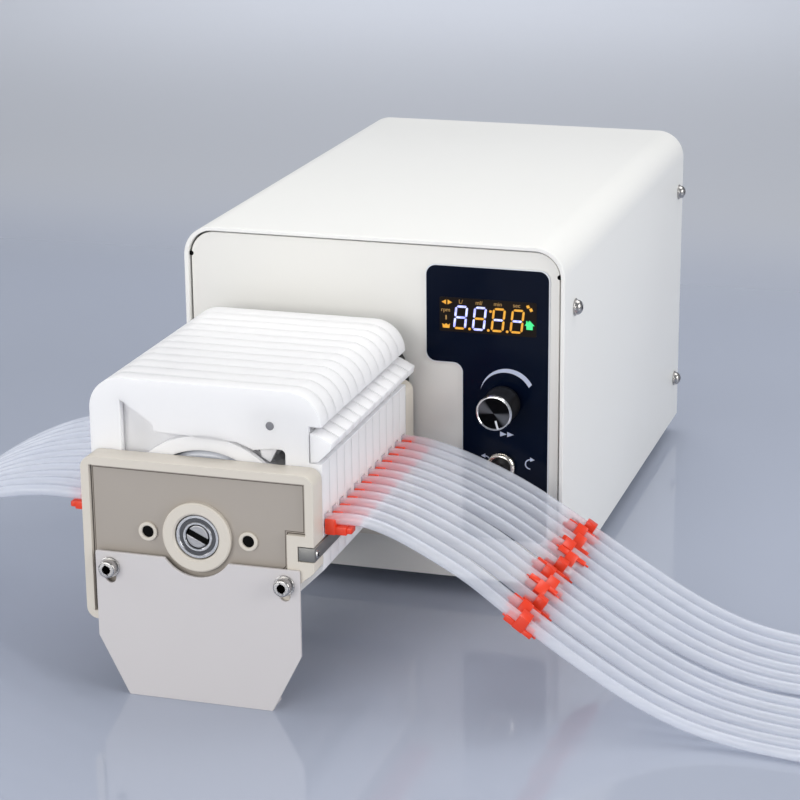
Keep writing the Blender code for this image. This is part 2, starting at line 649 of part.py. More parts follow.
# ---------------------------------------------------------------- pump head frame
def rail_limits(side):
    """Inner and outer x of a rail, smaller first."""
    outer = HEAD_HALF + RAIL_PROUD
    inner = outer - RAIL_WIDTH
    return sorted((HEAD_X + side * inner, HEAD_X + side * outer))


def plate_outline():
    """End plate with round corners and a notch at each side for a rail."""
    corner = PLATE_CORNER
    left = HEAD_X - HEAD_HALF
    right = HEAD_X + HEAD_HALF
    notch_low = RAIL_TOP - RAIL_HEIGHT - GAP
    notch_high = RAIL_TOP + GAP
    right_floor = rail_limits(1.0)[0] - GAP
    left_floor = rail_limits(-1.0)[1] + GAP
    outline = [(right, notch_high)]
    outline += arc(right - corner, PLATE_TOP - corner, corner, 0, 90, 4)
    outline += arc(left + corner, PLATE_TOP - corner, corner, 90, 180, 4)
    outline += [(left, notch_high), (left_floor, notch_high), (left_floor, notch_low), (left, notch_low)]
    outline += arc(left + corner, PLATE_BOTTOM + corner, corner, 180, 270, 4)
    outline += arc(right - corner, PLATE_BOTTOM + corner, corner, 270, 360, 4)
    outline += [(right, notch_low), (right_floor, notch_low), (right_floor, notch_high)]
    return outline


def front_plate_outline():
    """Front end plate: a notch for the right rail and a cut-away lower right corner."""
    corner = PLATE_CORNER
    left = HEAD_X - HEAD_HALF
    right = HEAD_X + HEAD_HALF
    narrow = HEAD_X + PLATE_CUT_HALF
    rail_floor = rail_limits(1.0)[0] - GAP
    outline = [(right, RAIL_TOP + GAP)]
    outline += arc(right - corner, PLATE_TOP - corner, corner, 0, 90, 4)
    outline += arc(left + corner, PLATE_TOP - corner, corner, 90, 180, 4)
    outline += arc(left + corner, PLATE_BOTTOM + corner, corner, 180, 270, 4)
    outline += arc(narrow - corner, PLATE_BOTTOM + corner, corner, 270, 360, 4)
    outline += [(narrow, PLATE_CUT_LOW), (right, PLATE_CUT_HIGH),
                (right, RAIL_TOP - RAIL_HEIGHT - GAP), (rail_floor, RAIL_TOP - RAIL_HEIGHT - GAP),
                (rail_floor, RAIL_TOP + GAP)]
    return outline


def make_adapter():
    """Black adapter plate between the drive and the head."""
    outline = rounded_box(HEAD_X - ADAPTER_HALF, HEAD_X + ADAPTER_HALF, ADAPTER_BOTTOM,
                          ADAPTER_TOP, ADAPTER_CORNER, 5)
    bore = arc(HEAD_X, AXIS_Z, SPIGOT_RADIUS + GAP, 0, 342, 19)
    adapter = prism("adapter_plate", [outline, bore], front_of_panel(GAP + ADAPTER_THICK),
                    front_of_panel(GAP))
    piece(adapter, ADAPTER_BLACK)


def make_rear_plate():
    """Rear end plate, flat on both faces."""
    back = front_of_panel(2 * GAP + ADAPTER_THICK)
    bore = arc(HEAD_X, AXIS_Z, SHAFT_RADIUS + 0.0006, 0, 337.5, 15)
    plate = prism("head_rear_plate", [plate_outline(), bore], front_of_panel(REAR_PLATE_FRONT), back)
    piece(plate, PLATE_BEIGE)


def make_front_plate():
    """Front end plate with a recessed face, a bearing boss and two small bosses."""
    face = front_of_panel(FRONT_PLATE_FACE)
    back = front_of_panel(FRONT_PLATE_BACK)
    floor = face + RECESS_DEPTH
    shaft_bore = arc(HEAD_X, AXIS_Z, SHAFT_RADIUS + 0.0013, 0, 337.5, 15)
    plate = prism("head_front_plate", [front_plate_outline(), shaft_bore], face, back)
    left = HEAD_X - HEAD_HALF + RIM_SIDE
    right = HEAD_X + HEAD_HALF - RIM_SIDE
    low = PLATE_BOTTOM + RIM_SIDE
    high = PLATE_TOP - RIM_SIDE
    step_x = right - 0.0080
    step_z = RAIL_TOP + 0.0048
    chamfer = 0.0035
    recess_outline = [
        (left, high), (left, low), (step_x - chamfer, low),
        (step_x - chamfer, step_z - 0.0190), (step_x, step_z - 0.0155), (step_x, step_z),
        (right, step_z), (right, high),
    ]
    cut(plate, prism("recess", [recess_outline[::-1]], face - 0.001, floor))
    join(plate, cylinder("bearing_boss", HEAD_X, AXIS_Z, face - BOSS_PROUD, floor + 0.001,
                         BOSS_RADIUS, 24))
    for side in (-1.0, 1.0):
        port_x = HEAD_X + side * PORT_OFFSET
        join(plate, cylinder("port_boss", port_x, AXIS_Z, floor - 0.0012, floor + 0.001,
                             PORT_RADIUS, 16))
        cut(plate, cylinder("port_bore", port_x, AXIS_Z, floor - 0.002, floor + 0.0070,
                            PORT_BORE, 10))
    cut(plate, cylinder("bearing_bore", HEAD_X, AXIS_Z, face - 0.002, face + BEARING_WIDTH + 0.0008,
                        BEARING_OUTER + GAP, 20))
    piece(plate, PLATE_BEIGE)


def make_rails():
    """Two steel rails that carry the cartridges; the left one ends behind the front plate."""
    back = front_of_panel(2 * GAP + ADAPTER_THICK)
    for name, side, front in (("left_rail", -1.0, FRONT_PLATE_BACK - GAP),
                              ("right_rail", 1.0, FRONT_PLATE_FACE)):
        low_x, high_x = rail_limits(side)
        rail = box(name, (low_x, front_of_panel(front), RAIL_TOP - RAIL_HEIGHT),
                   (high_x, back, RAIL_TOP))
        piece(rail, RAIL_STEEL)


def make_bearing():
    """Ball bearing in the front plate, seen as one ring."""
    face = front_of_panel(FRONT_PLATE_FACE)
    outer = arc(HEAD_X, AXIS_Z, BEARING_OUTER, 0, 342, 19)
    inner = arc(HEAD_X, AXIS_Z, BEARING_BORE, 0, 342, 19)
    bearing = prism("front_bearing", [outer, inner], face + 0.0005, face + 0.0005 + BEARING_WIDTH)
    piece(bearing, BEARING_STEEL)


def make_support_foot():
    """Sheet foot that holds the head's front end up, with a bent-back base."""
    front = front_of_panel(FOOT_FACE)
    back = front + FOOT_SHEET
    relief_end = sqrt(FOOT_RELIEF ** 2 - (AXIS_Z - FOOT_TOP) ** 2)
    outline = [(HEAD_X - FOOT_BASE_HALF, 0.0), (HEAD_X + FOOT_BASE_HALF, 0.0),
               (HEAD_X + FOOT_HALF, FOOT_SHOULDER), (HEAD_X + FOOT_HALF, FOOT_TOP),
               (HEAD_X + relief_end, FOOT_TOP)]
    outline += arc(HEAD_X, AXIS_Z, FOOT_RELIEF, -45, -135, 8)
    outline += [(HEAD_X - relief_end, FOOT_TOP), (HEAD_X - FOOT_HALF, FOOT_TOP),
                (HEAD_X - FOOT_HALF, FOOT_SHOULDER)]
    foot = prism("support_foot", [outline], front, back)
    flange = box("foot_flange", (HEAD_X - FOOT_BASE_HALF + 0.0004, front + 0.0005, 0.0),
                 (HEAD_X + FOOT_BASE_HALF - 0.0004, front + FOOT_FLANGE, FOOT_SHEET))
    join(foot, flange)
    for side in (-1.0, 1.0):
        slot_x = HEAD_X + side * SLOT_OFFSET
        slot = arc(slot_x, SLOT_Z, SLOT_RADIUS, 0, 180, 4)
        slot += arc(slot_x, SLOT_Z - SLOT_TRAVEL, SLOT_RADIUS, 180, 360, 4)
        cut(foot, prism("foot_slot", [slot], front - 0.001, back + 0.001))
    piece(foot, SUPPORT_WHITE)


# ---------------------------------------------------------------- rotor
CARRIER_FRONT = FRONT_PLATE_BACK - GAP
CARRIER_BACK = REAR_PLATE_FRONT + GAP
CARRIER_RADIUS = ROLLER_CIRCLE + ROLLER_RADIUS - 0.0007


def roller_place(index):
    """Axis of a roller, counted round the rotor."""
    angle = radians(30.0 + 360.0 * index / ROLLERS)
    return HEAD_X + ROLLER_CIRCLE * cos(angle), AXIS_Z + ROLLER_CIRCLE * sin(angle)


def make_rotor():
    """Drive shaft with a slotted front end and the two discs that carry the rollers."""
    shaft_front = front_of_panel(FRONT_PLATE_FACE) + 0.0008
    shaft = cylinder("rotor", HEAD_X, AXIS_Z, shaft_front, PANEL_Y + 0.0080, SHAFT_RADIUS, 20)
    front_disc = cylinder("front_disc", HEAD_X, AXIS_Z, front_of_panel(CARRIER_FRONT),
                          front_of_panel(CARRIER_FRONT - CARRIER_THICK), CARRIER_RADIUS, 18)
    back_disc = cylinder("back_disc", HEAD_X, AXIS_Z, front_of_panel(CARRIER_BACK + CARRIER_THICK),
                         front_of_panel(CARRIER_BACK), CARRIER_RADIUS, 18)
    join(shaft, front_disc, back_disc)
    slot = box("shaft_slot", (-0.0008, shaft_front - 0.001, -0.0060),
               (0.0008, shaft_front + 0.0025, 0.0060))
    turned = Matrix.Translation((HEAD_X, 0.0, AXIS_Z)) @ Matrix.Rotation(radians(-65.0), 4, "Y")
    slot.data.transform(turned)
    cut(shaft, slot)
    for index in range(ROLLERS):
        x, z = roller_place(index)
        hole = cylinder("journal_hole", x, z, front_of_panel(CARRIER_FRONT) - 0.001,
                        front_of_panel(CARRIER_BACK) + 0.001, JOURNAL_RADIUS + GAP + 0.0001, 6)
        cut(shaft, hole)
    piece(shaft, STEEL, (HEAD_X, front_of_panel(CARRIER_FRONT), AXIS_Z))


def make_rollers():
    """Six free-turning rollers on journals in the carrier discs."""
    front = front_of_panel(CARRIER_FRONT - CARRIER_THICK - GAP)
    back = front_of_panel(CARRIER_BACK + CARRIER_THICK + GAP)
    for index in range(ROLLERS):
        x, z = roller_place(index)
        roller = cylinder(f"roller_{index + 1}", x, z, front, back, ROLLER_RADIUS, 14)
        journal = cylinder("roller_journal", x, z, front - CARRIER_THICK, back + CARRIER_THICK,
                           JOURNAL_RADIUS, 6)
        join(roller, journal)
        piece(roller, ROLLER_STEEL, (x, front, z))


# ---------------------------------------------------------------- cartridges and levers
BED_OUTER = BED_INNER + BED_WALL
POCKET_HALF = LEVER_THICK / 2.0 + GAP
NOSE_LOW = BED_OUTER - 0.0095     # lowest point of the lever's nose
POCKET_LOW = NOSE_LOW - GAP       # the pocket leaves the lower part of the bed's wall
NOTCH_IN = 0.0454            # notch in the right leg for the thumb tab
NOTCH_LOW = 0.0323
NOTCH_HIGH = 0.0480
WINDOW_TOP = BED_OUTER - 0.0027   # underside of the pressing block at its right end


def channel_y(channel):
    """Middle of a channel, counted from the front."""
    first = FRONT_PLATE_BACK - GAP - CARTRIDGE_THICK / 2.0
    return front_of_panel(first - channel * CHANNEL_PITCH)


def cartridge_outline():
    """Arch with two hooked legs, a hanging block and the curved pressing bed.

    Measured from the rotor axis: +x is right and +z is up.
    """
    rail_top = RAIL_TOP - AXIS_Z + GAP
    rail_low = rail_top - RAIL_HEIGHT - 2 * GAP
    rail_in = HEAD_HALF + RAIL_PROUD - RAIL_WIDTH - GAP
    half = HEAD_HALF
    foot = -CARTRIDGE_DROP
    inner = half - LEG_WIDTH
    outline = [(-half, rail_low), (-half, foot + HOOK_CUT), (-half + HOOK_CUT, foot),
               (-inner, foot), (-inner, WEB_LOW)]
    outline += arc(0.0, 0.0, BED_INNER, 151.0, 38.0, 5)
    outline += arc(0.0, 0.0, BED_OUTER, 38.0, 140.2, 5)
    outline += [(-inner, WEB_HIGH), (-inner, 0.0528), (-0.0225, WINDOW_TOP + 0.0061),
                (-0.0226, WINDOW_TOP + 0.0031), (0.0139, WINDOW_TOP + 0.0016),
                (0.0214, WINDOW_TOP - 0.0011), (0.0290, WINDOW_TOP)]
    outline += arc(0.0332, WINDOW_TOP - 0.0020, 0.0020, 90, 0, 2)
    outline += [(0.0352, foot), (half - HOOK_CUT, foot), (half, foot + HOOK_CUT), (half, rail_low),
                (rail_in, rail_low), (rail_in, rail_top), (half, rail_top),
                (half, NOTCH_LOW), (NOTCH_IN, NOTCH_LOW), (NOTCH_IN, NOTCH_HIGH)]
    outline += arc(half - SHOULDER_RADIUS, CARTRIDGE_RISE - SHOULDER_RADIUS, SHOULDER_RADIUS,
                   0, 90, 3)
    outline += arc(-half + SHOULDER_RADIUS, CARTRIDGE_RISE - SHOULDER_RADIUS, SHOULDER_RADIUS,
                   90, 180, 3)
    outline += [(-half, rail_top), (-rail_in, rail_top), (-rail_in, rail_low)]
    return shift(outline, HEAD_X, AXIS_Z)


def make_cartridge(channel):
    """One channel's cartridge, with wall slots for the tube and a pocket for the lever."""
    middle = channel_y(channel)
    half = CARTRIDGE_THICK / 2.0
    cartridge = prism(f"cartridge_{channel + 1:02d}", [cartridge_outline()], middle - half,
                      middle + half)
    reach = TUBE_RADIUS + GAP
    tube_z = AXIS_Z + TUBE_RISE
    tube_slot = box("tube_slot", (HEAD_X - HEAD_HALF - 0.01, middle - reach, tube_z - reach),
                    (HEAD_X + HEAD_HALF + 0.01, middle + reach, tube_z + reach))
    pocket = box("lever_pocket",
                 (HEAD_X + 0.0200, middle - POCKET_HALF, AXIS_Z + POCKET_LOW),
                 (HEAD_X + NOTCH_IN + 0.001, middle + POCKET_HALF, AXIS_Z + 0.0530))
    pin_hole = cylinder("pin_hole", HEAD_X + PIN_X, AXIS_Z + PIN_Z, middle - half - 0.001,
                        middle + half + 0.001, PIN_RADIUS + GAP + 0.0001, 6)
    cut(cartridge, tube_slot, pocket, pin_hole)
    piece(cartridge, CARTRIDGE_WHITE)


def make_lever(channel):
    """Adjusting lever: an arm on a steel pin, a nose on the bed and a thumb tab outside."""
    middle = channel_y(channel)
    arm_outline = [
        (0.0238, NOSE_LOW + 0.0021), (0.0276, NOSE_LOW), (0.0310, NOSE_LOW + 0.0067), (0.0335, 0.0400),
        (0.0475, 0.0360), (0.0480, 0.0440), (0.0335, 0.0505), (0.0300, 0.0524),
        (0.0268, 0.0522), (0.0236, 0.0492), (0.0222, 0.0400),
    ]
    tab_outline = [
        (NOTCH_IN + 0.0005, NOTCH_LOW + 0.0004), (0.0492, NOTCH_LOW + 0.0008),
        (TAB_REACH, 0.0385), (TAB_REACH + 0.0006, 0.0415), (0.0490, 0.0446),
        (NOTCH_IN + 0.0005, 0.0452),
    ]
    arm = prism(f"lever_{channel + 1:02d}", [shift(arm_outline, HEAD_X, AXIS_Z)],
                middle - LEVER_THICK / 2.0, middle + LEVER_THICK / 2.0)
    half = CARTRIDGE_THICK / 2.0 - 0.0001
    tab = prism("thumb_tab", [shift(tab_outline, HEAD_X, AXIS_Z)], middle - half, middle + half)
    pin = cylinder("lever_pin", HEAD_X + PIN_X, AXIS_Z + PIN_Z, middle - half, middle + half,
                   PIN_RADIUS, 6)
    join(arm, tab, pin)
    piece(arm, LEVER_WHITE, (HEAD_X + PIN_X, middle, AXIS_Z + PIN_Z))


# ---------------------------------------------------------------- tubes
def smooth_run(points, step):
    """Points a step apart on a smooth curve through the given ones."""
    dense = []
    for index in range(len(points) - 1):
        before = points[max(index - 1, 0)]
        start = points[index]
        end = points[index + 1]
        after = points[min(index + 2, len(points) - 1)]
        for part in range(12):
            t = part / 12.0
            dense.append(0.5 * (2.0 * start + (end - before) * t
                                + (2.0 * before - 5.0 * start + 4.0 * end - after) * t * t
                                + (3.0 * start - before - 3.0 * end + after) * t * t * t))
    dense.append(points[-1])
    total = sum((b - a).length for a, b in zip(dense, dense[1:]))
    count = max(2, round(total / step))
    spaced = [dense[0]]
    walked = 0.0
    for a, b in zip(dense, dense[1:]):
        stretch = (b - a).length
        while len(spaced) < count and walked + stretch >= total * len(spaced) / count - 1e-9:
            ratio = (total * len(spaced) / count - walked) / stretch
            spaced.append(a.lerp(b, ratio))
        walked += stretch
    spaced.append(dense[-1])
    return spaced


def ease(value):
    """A smooth step from 0 to 1."""
    held = min(1.0, max(0.0, value))
    return held * held * (3.0 - 2.0 * held)


def free_run(channel, wall_x, front_points, back_points, stray, end_stray):
    """A tube's route from a cartridge wall to its free end on the table."""
    share = channel / (CHANNELS - 1)
    middle = channel_y(channel)
    route = [Vector((wall_x, middle, AXIS_Z + TUBE_RISE))]
    reach = abs(front_points[-1][0] - wall_x)
    for near, far in zip(front_points, back_points):
        x, z, drift = (a + (b - a) * share for a, b in zip(near, far))
        along = abs(x - wall_x) / reach
        middle_part = ease(along / 0.4)
        end_part = ease((along - 0.4) / 0.6)
        aside = stray[channel] * middle_part * (1.0 - end_part) + end_stray[channel] * end_part
        route.append(Vector((x, middle + drift + aside, z)))
    return smooth_run(route, RUN_STEP)


def head_run(channel):
    """A tube's route from the left wall over the rollers to the right wall."""
    middle = channel_y(channel)
    entry = [(-HEAD_HALF, TUBE_RISE), (-0.0345, TUBE_RISE), (-0.0300, TUBE_RISE + 0.0025)]
    over = arc(0.0, 0.0, TUBE_WRAP_RADIUS, 150, 30, 6)
    leave = [(-x, z) for x, z in entry[::-1]]
    return [Vector((HEAD_X + x, middle, AXIS_Z + z)) for x, z in entry + over + leave]


def tube_stop(channel, side):
    """Stop that seats on a cartridge's outer wall, with a lower step outside it."""
    middle = channel_y(channel)
    wall = HEAD_X + side * (HEAD_HALF + GAP)
    far = wall + side * STOP_LENGTH
    low_x, high_x = sorted((wall, far))
    return box("tube_stop", (low_x, middle - STOP_WIDTH / 2.0, AXIS_Z + STOP_BOTTOM),
               (high_x, middle + STOP_WIDTH / 2.0, AXIS_Z + STOP_TOP))


def outer_stop(points):
    """The third stop, part of the way along the free run on the right."""
    walked = 0.0
    for a, b in zip(points, points[1:]):
        stretch = (b - a).length
        if walked + stretch >= OUTER_STOP_AT:
            place = a.lerp(b, (OUTER_STOP_AT - walked) / stretch)
            slope = (b - a).to_track_quat("X", "Z")
            stop = box("outer_stop", (-STOP_LENGTH / 2.0, -STOP_WIDTH / 2.0, -0.0034),
                       (STOP_LENGTH / 2.0, STOP_WIDTH / 2.0, 0.0040))
            stop.data.transform(Matrix.Translation(place) @ slope.to_matrix().to_4x4())
            return stop
        walked += stretch
    return None


def make_tube(channel):
    """One pump tube from its left free end through the head to its right free end."""
    right = free_run(channel, HEAD_X + HEAD_HALF, RIGHT_FRONT_RUN, RIGHT_BACK_RUN,
                     RIGHT_STRAY, RIGHT_END_STRAY)
    left = free_run(channel, HEAD_X - HEAD_HALF, LEFT_RUN, LEFT_RUN, LEFT_STRAY, LEFT_END_STRAY)
    route = left[::-1] + head_run(channel)[1:-1] + right
    tube = pipe(f"tube_{channel + 1:02d}", route, TUBE_RADIUS)
    join(tube, tube_stop(channel, -1.0), tube_stop(channel, 1.0), outer_stop(right))
    piece(tube, TUBE_CLEAR)


# ---------------------------------------------------------------- build
make_cover()
make_chassis()
make_overlay()
make_knob()
make_toggle()
make_motor()
make_mains()
make_adapter()
make_rear_plate()
make_front_plate()
make_rails()
make_bearing()
make_support_foot()
make_rotor()
make_rollers()
for number in range(CHANNELS):
    make_cartridge(number)
    make_lever(number)
    make_tube(number)
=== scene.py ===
"""Looks of a twelve-channel peristaltic pump: a white sheet-metal drive with a cartridge head.

Units are metres, in the frame of the CAD model: +X right, -Y the front, +Z up, table at z = 0.
"""

from math import cos, pi, radians, sin, sqrt

import bmesh
import bpy
from mathutils import Matrix, Vector


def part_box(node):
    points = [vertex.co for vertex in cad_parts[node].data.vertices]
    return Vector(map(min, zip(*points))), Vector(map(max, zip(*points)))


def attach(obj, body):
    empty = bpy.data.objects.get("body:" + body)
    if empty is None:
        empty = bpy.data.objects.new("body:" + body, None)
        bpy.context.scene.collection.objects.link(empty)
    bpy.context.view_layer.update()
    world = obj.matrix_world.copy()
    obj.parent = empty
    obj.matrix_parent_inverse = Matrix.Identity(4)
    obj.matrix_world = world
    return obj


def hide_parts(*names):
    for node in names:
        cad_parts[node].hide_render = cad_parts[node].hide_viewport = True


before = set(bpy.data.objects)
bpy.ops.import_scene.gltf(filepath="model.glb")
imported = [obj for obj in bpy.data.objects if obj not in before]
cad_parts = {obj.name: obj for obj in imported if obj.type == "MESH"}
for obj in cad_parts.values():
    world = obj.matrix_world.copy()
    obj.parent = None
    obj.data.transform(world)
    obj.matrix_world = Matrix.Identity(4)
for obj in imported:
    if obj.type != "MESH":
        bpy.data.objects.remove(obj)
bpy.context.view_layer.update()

# ---------------------------------------------------------------- shared sizes
CHANNELS = 12
PANEL_Y = -0.06505            # front panel's face
HEAD_X = -0.0304              # rotor axis
AXIS_Z = 0.0730
HEAD_HALF = 0.0508            # half the width of the cartridges and end plates
TUBE_RADIUS = 0.00245
TUBE_WALL = 0.0008
TUBE_RISE = 0.0075            # tubes enter this far above the rotor axis
RAIL_TOP = AXIS_Z + 0.0002
RAIL_TALL = 0.0060
RAIL_PROUD = 0.0005           # how far a rail stands out beyond the end plates
FRONT = Vector((0.0, -1.0, 0.0))
SURFACE = 0.00006             # how far printed marks stand off what they are printed on


def ahead(distance):
    """World y of a place this far in front of the panel's face."""
    return PANEL_Y - distance


def channel_y(channel):
    """Middle of a channel, counted from the front."""
    low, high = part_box(f"cartridge_{channel + 1:02d}")
    return (low[1] + high[1]) / 2.0


# ---------------------------------------------------------------- camera
def make_camera():
    """Long lens from above and to the right of the control panel."""
    turn, rise, roll = radians(17.276), radians(17.334), radians(-0.508)
    back = Vector((sin(turn) * cos(rise), -cos(turn) * cos(rise), sin(rise)))
    across = Vector((cos(turn), sin(turn), 0.0))
    up = back.cross(across)
    right = across * cos(roll) + up * sin(roll)
    top = up * cos(roll) - across * sin(roll)
    pose = Matrix((right, top, back)).transposed().to_4x4()
    pose.translation = (0.3285, -1.07985, 0.4243)
    data = bpy.data.cameras.new("camera")
    data.lens = 109.72
    data.sensor_width = 36.0
    camera = bpy.data.objects.new("camera", data)
    camera.matrix_world = pose
    bpy.context.scene.collection.objects.link(camera)
    bpy.context.scene.camera = camera


make_camera()


# ---------------------------------------------------------------- materials
class Number:
    """A value that varies over a surface, which takes part in sums."""

    def __init__(self, look, socket):
        self.look = look
        self.socket = socket

    def combined(self, operation, first, second):
        return self.look.node("ShaderNodeMath", {"operation": operation}, {0: first, 1: second})

    def __add__(self, other):
        return self.combined("ADD", self, other)

    __radd__ = __add__

    def __mul__(self, other):
        return self.combined("MULTIPLY", self, other)

    __rmul__ = __mul__

    def __sub__(self, other):
        return self.combined("SUBTRACT", self, other)

    def __rsub__(self, other):
        return self.combined("SUBTRACT", other, self)


class Look:
    """A Principled material under construction."""

    def __init__(self, name, **constants):
        self.material = bpy.data.materials.new(name)
        self.material.use_nodes = True
        self.tree = self.material.node_tree
        self.shader = self.tree.nodes["Principled BSDF"]
        for words, value in constants.items():
            self.shader.inputs[words.replace("_", " ")].default_value = value

    def node(self, kind, settings=None, inputs=None, output=0):
        """Add a node: its settings first, then the values or links of its sockets."""
        made = self.tree.nodes.new(kind)
        for name, value in (settings or {}).items():
            if name == "stops":
                for index, (place, colour) in enumerate(value):
                    if index > 1:
                        made.color_ramp.elements.new(place)
                    made.color_ramp.elements[index].position = place
                    made.color_ramp.elements[index].color = colour
            else:
                setattr(made, name, value)
        for key, value in (inputs or {}).items():
            if isinstance(value, Number):
                self.tree.links.new(value.socket, made.inputs[key])
            else:
                made.inputs[key].default_value = value
        return Number(self, made.outputs[output])

    def feed(self, socket, value):
        self.tree.links.new(value.socket, self.shader.inputs[socket])

    def place(self):
        return self.node("ShaderNodeTexCoord", output="Object")

    def stretched(self, across, along, up):
        return self.node("ShaderNodeMapping", inputs={"Vector": self.place(),
                                                      "Scale": (across, along, up)})

    def axis(self, letter):
        return self.node("ShaderNodeSeparateXYZ", inputs={"Vector": self.place()}, output=letter)

    def noise(self, scale, detail=3.0, vector=None):
        inputs = {"Vector": vector or self.place(), "Scale": scale, "Detail": detail}
        return self.node("ShaderNodeTexNoise", inputs=inputs, output="Fac")

    def spread(self, value, low, high, start=0.0, end=1.0):
        """Carry a value from one range to another, held at its ends."""
        inputs = {"Value": value, "From Min": low, "From Max": high, "To Min": start, "To Max": end}
        return self.node("ShaderNodeMapRange", {"interpolation_type": "SMOOTHSTEP"}, inputs)

    def blend(self, share, first, second):
        """A colour between two others."""
        return self.node("ShaderNodeMix", {"data_type": "RGBA"}, {0: share, 6: first, 7: second},
                         output=2)

    def bump(self, height, strength, depth):
        self.feed("Normal", self.node("ShaderNodeBump", inputs={
            "Height": height, "Strength": strength, "Distance": depth}))


def paint(red, green, blue):
    """A display colour, each part 0 to 255, as the linear colour that shaders use."""
    parts = []
    for part in (red, green, blue):
        share = part / 255.0
        parts.append(share / 12.92 if share < 0.04045 else ((share + 0.055) / 1.055) ** 2.4)
    return (*parts, 1.0)


def powder_coat(name, colour, shade, roughness, grain=1100.0):
    """Baked paint with a faint orange peel."""
    look = Look(name, Base_Color=colour, Coat_Weight=0.15, Coat_Roughness=0.25)
    look.feed("Base Color", look.blend(look.noise(9.0) * 0.5, colour, shade))
    look.feed("Roughness", look.noise(60.0) * 0.12 + (roughness - 0.06))
    look.bump(look.noise(grain, 2.0), 0.10, 0.00012)
    return look.material


def moulded(name, colour, shade, roughness, grain=2200.0, strength=0.12):
    """Moulded plastic with a fine spark texture."""
    look = Look(name, Base_Color=colour)
    look.feed("Base Color", look.blend(look.noise(30.0) * 0.7, colour, shade))
    look.feed("Roughness", look.noise(140.0) * 0.16 + (roughness - 0.08))
    look.bump(look.noise(grain, 3.0), strength, 0.00010)
    return look.material


def acetal(name, colour, shade):
    """Natural white acetal: light soaks into it a few millimetres."""
    look = Look(name, Base_Color=colour, Subsurface_Weight=0.55, Subsurface_Radius=(1.0, 1.0, 1.0),
                Subsurface_Scale=0.0060, Roughness=0.36, Specular_IOR_Level=0.42)
    look.feed("Base Color", look.blend(look.noise(24.0) * 0.6, colour, shade))
    look.feed("Roughness", look.noise(220.0, vector=look.stretched(1.0, 1.0, 4.0)) * 0.18 + 0.30)
    look.bump(look.noise(700.0, 2.0), 0.06, 0.00010)
    return look.material


def metal(name, colour, roughness, grain=(1.0, 1.0, 1.0), scale=900.0, strength=0.08):
    """Bare metal; the grain says how the marks of its finish are stretched."""
    look = Look(name, Base_Color=colour, Metallic=1.0)
    marks = look.noise(scale, 4.0, look.stretched(*grain))
    dark = tuple(part * 0.82 for part in colour[:3]) + (1.0,)
    look.feed("Base Color", look.blend(marks, dark, colour))
    look.feed("Roughness", marks * 0.22 + (roughness - 0.08))
    look.bump(marks, strength, 0.00006)
    return look.material


def spun_metal(name, colour, roughness, centre, pitch):
    """Metal faced on a lathe: fine rings about an axis along Y."""
    look = Look(name, Base_Color=colour, Metallic=1.0, Roughness=roughness)
    around = look.node("ShaderNodeMapping", {"vector_type": "POINT"}, {
        "Vector": look.place(), "Location": (-centre[0], 0.0, -centre[1])})
    rings = look.node("ShaderNodeTexWave", {"wave_type": "RINGS", "rings_direction": "Y"}, {
        "Vector": around, "Scale": 1.0 / pitch / 20.0, "Distortion": 0.0})
    look.feed("Roughness", rings * 0.14 + roughness)
    look.bump(rings, 0.30, 0.00004)
    return look.material


def rubber(name, colour):
    look = Look(name, Base_Color=colour)
    look.feed("Roughness", look.noise(90.0) * 0.15 + 0.62)
    look.bump(look.noise(1600.0, 3.0), 0.2, 0.00012)
    return look.material


def printed(name, colour, roughness=0.5):
    look = Look(name, Base_Color=colour, Specular_IOR_Level=0.10)
    look.feed("Roughness", look.noise(200.0) * 0.1 + roughness)
    return look.material


def glowing(name, core, edge, strength):
    """A lit segment, a little uneven over its face."""
    look = Look(name, Base_Color=(0.02, 0.02, 0.02, 1.0), Emission_Strength=strength)
    look.feed("Emission Color", look.blend(look.spread(look.noise(700.0), 0.35, 0.65), core, edge))
    return look.material


def pump_tube(name, cover):
    """Milky translucent tubing, with a painted red glow beside its stops where their red shows
    through; cover is how much it hides.
    """
    look = Look(name, Roughness=0.10, IOR=1.42, Specular_IOR_Level=0.6, Coat_Weight=0.4,
                Coat_Roughness=0.06)
    clear = paint(224, 230, 244)
    cloudy = paint(244, 247, 254)
    body = look.blend(look.noise(160.0, 3.0, look.stretched(0.15, 1.0, 1.0)), clear, cloudy)
    across = look.axis("X")
    inner = look.spread(across, 0.0195, 0.0215) * look.spread(across, 0.0400, 0.0290)
    outer = look.spread(across, 0.0935, 0.1000) * look.spread(across, 0.1160, 0.1080)
    left = look.spread(across, -0.0960, -0.0880) * look.spread(across, -0.0790, -0.0815)
    # Painted light: the red of the stops seen through the tubing is painted into its colour over
    # the stops.
    painted_stop_glow = inner + outer + left
    look.feed("Base Color", look.blend(painted_stop_glow * 0.20, body, paint(240, 110, 112)))
    streaks = look.noise(240.0, 2.0, look.stretched(0.1, 1.0, 1.0))
    look.feed("Alpha", streaks * 0.16 + (cover - 0.08))
    look.feed("Roughness", look.noise(420.0) * 0.08 + 0.06)
    return look.material


def overlay_film():
    """Dark blue printed polyester over the controls, slightly glossy."""
    look = Look("overlay_navy", Specular_IOR_Level=0.05)
    look.feed("Base Color", look.blend(look.noise(26.0), paint(5, 12, 28), paint(8, 18, 38)))
    look.feed("Roughness", look.noise(500.0) * 0.05 + 0.07)
    look.bump(look.noise(1800.0, 2.0), 0.02, 0.00003)
    return look.material


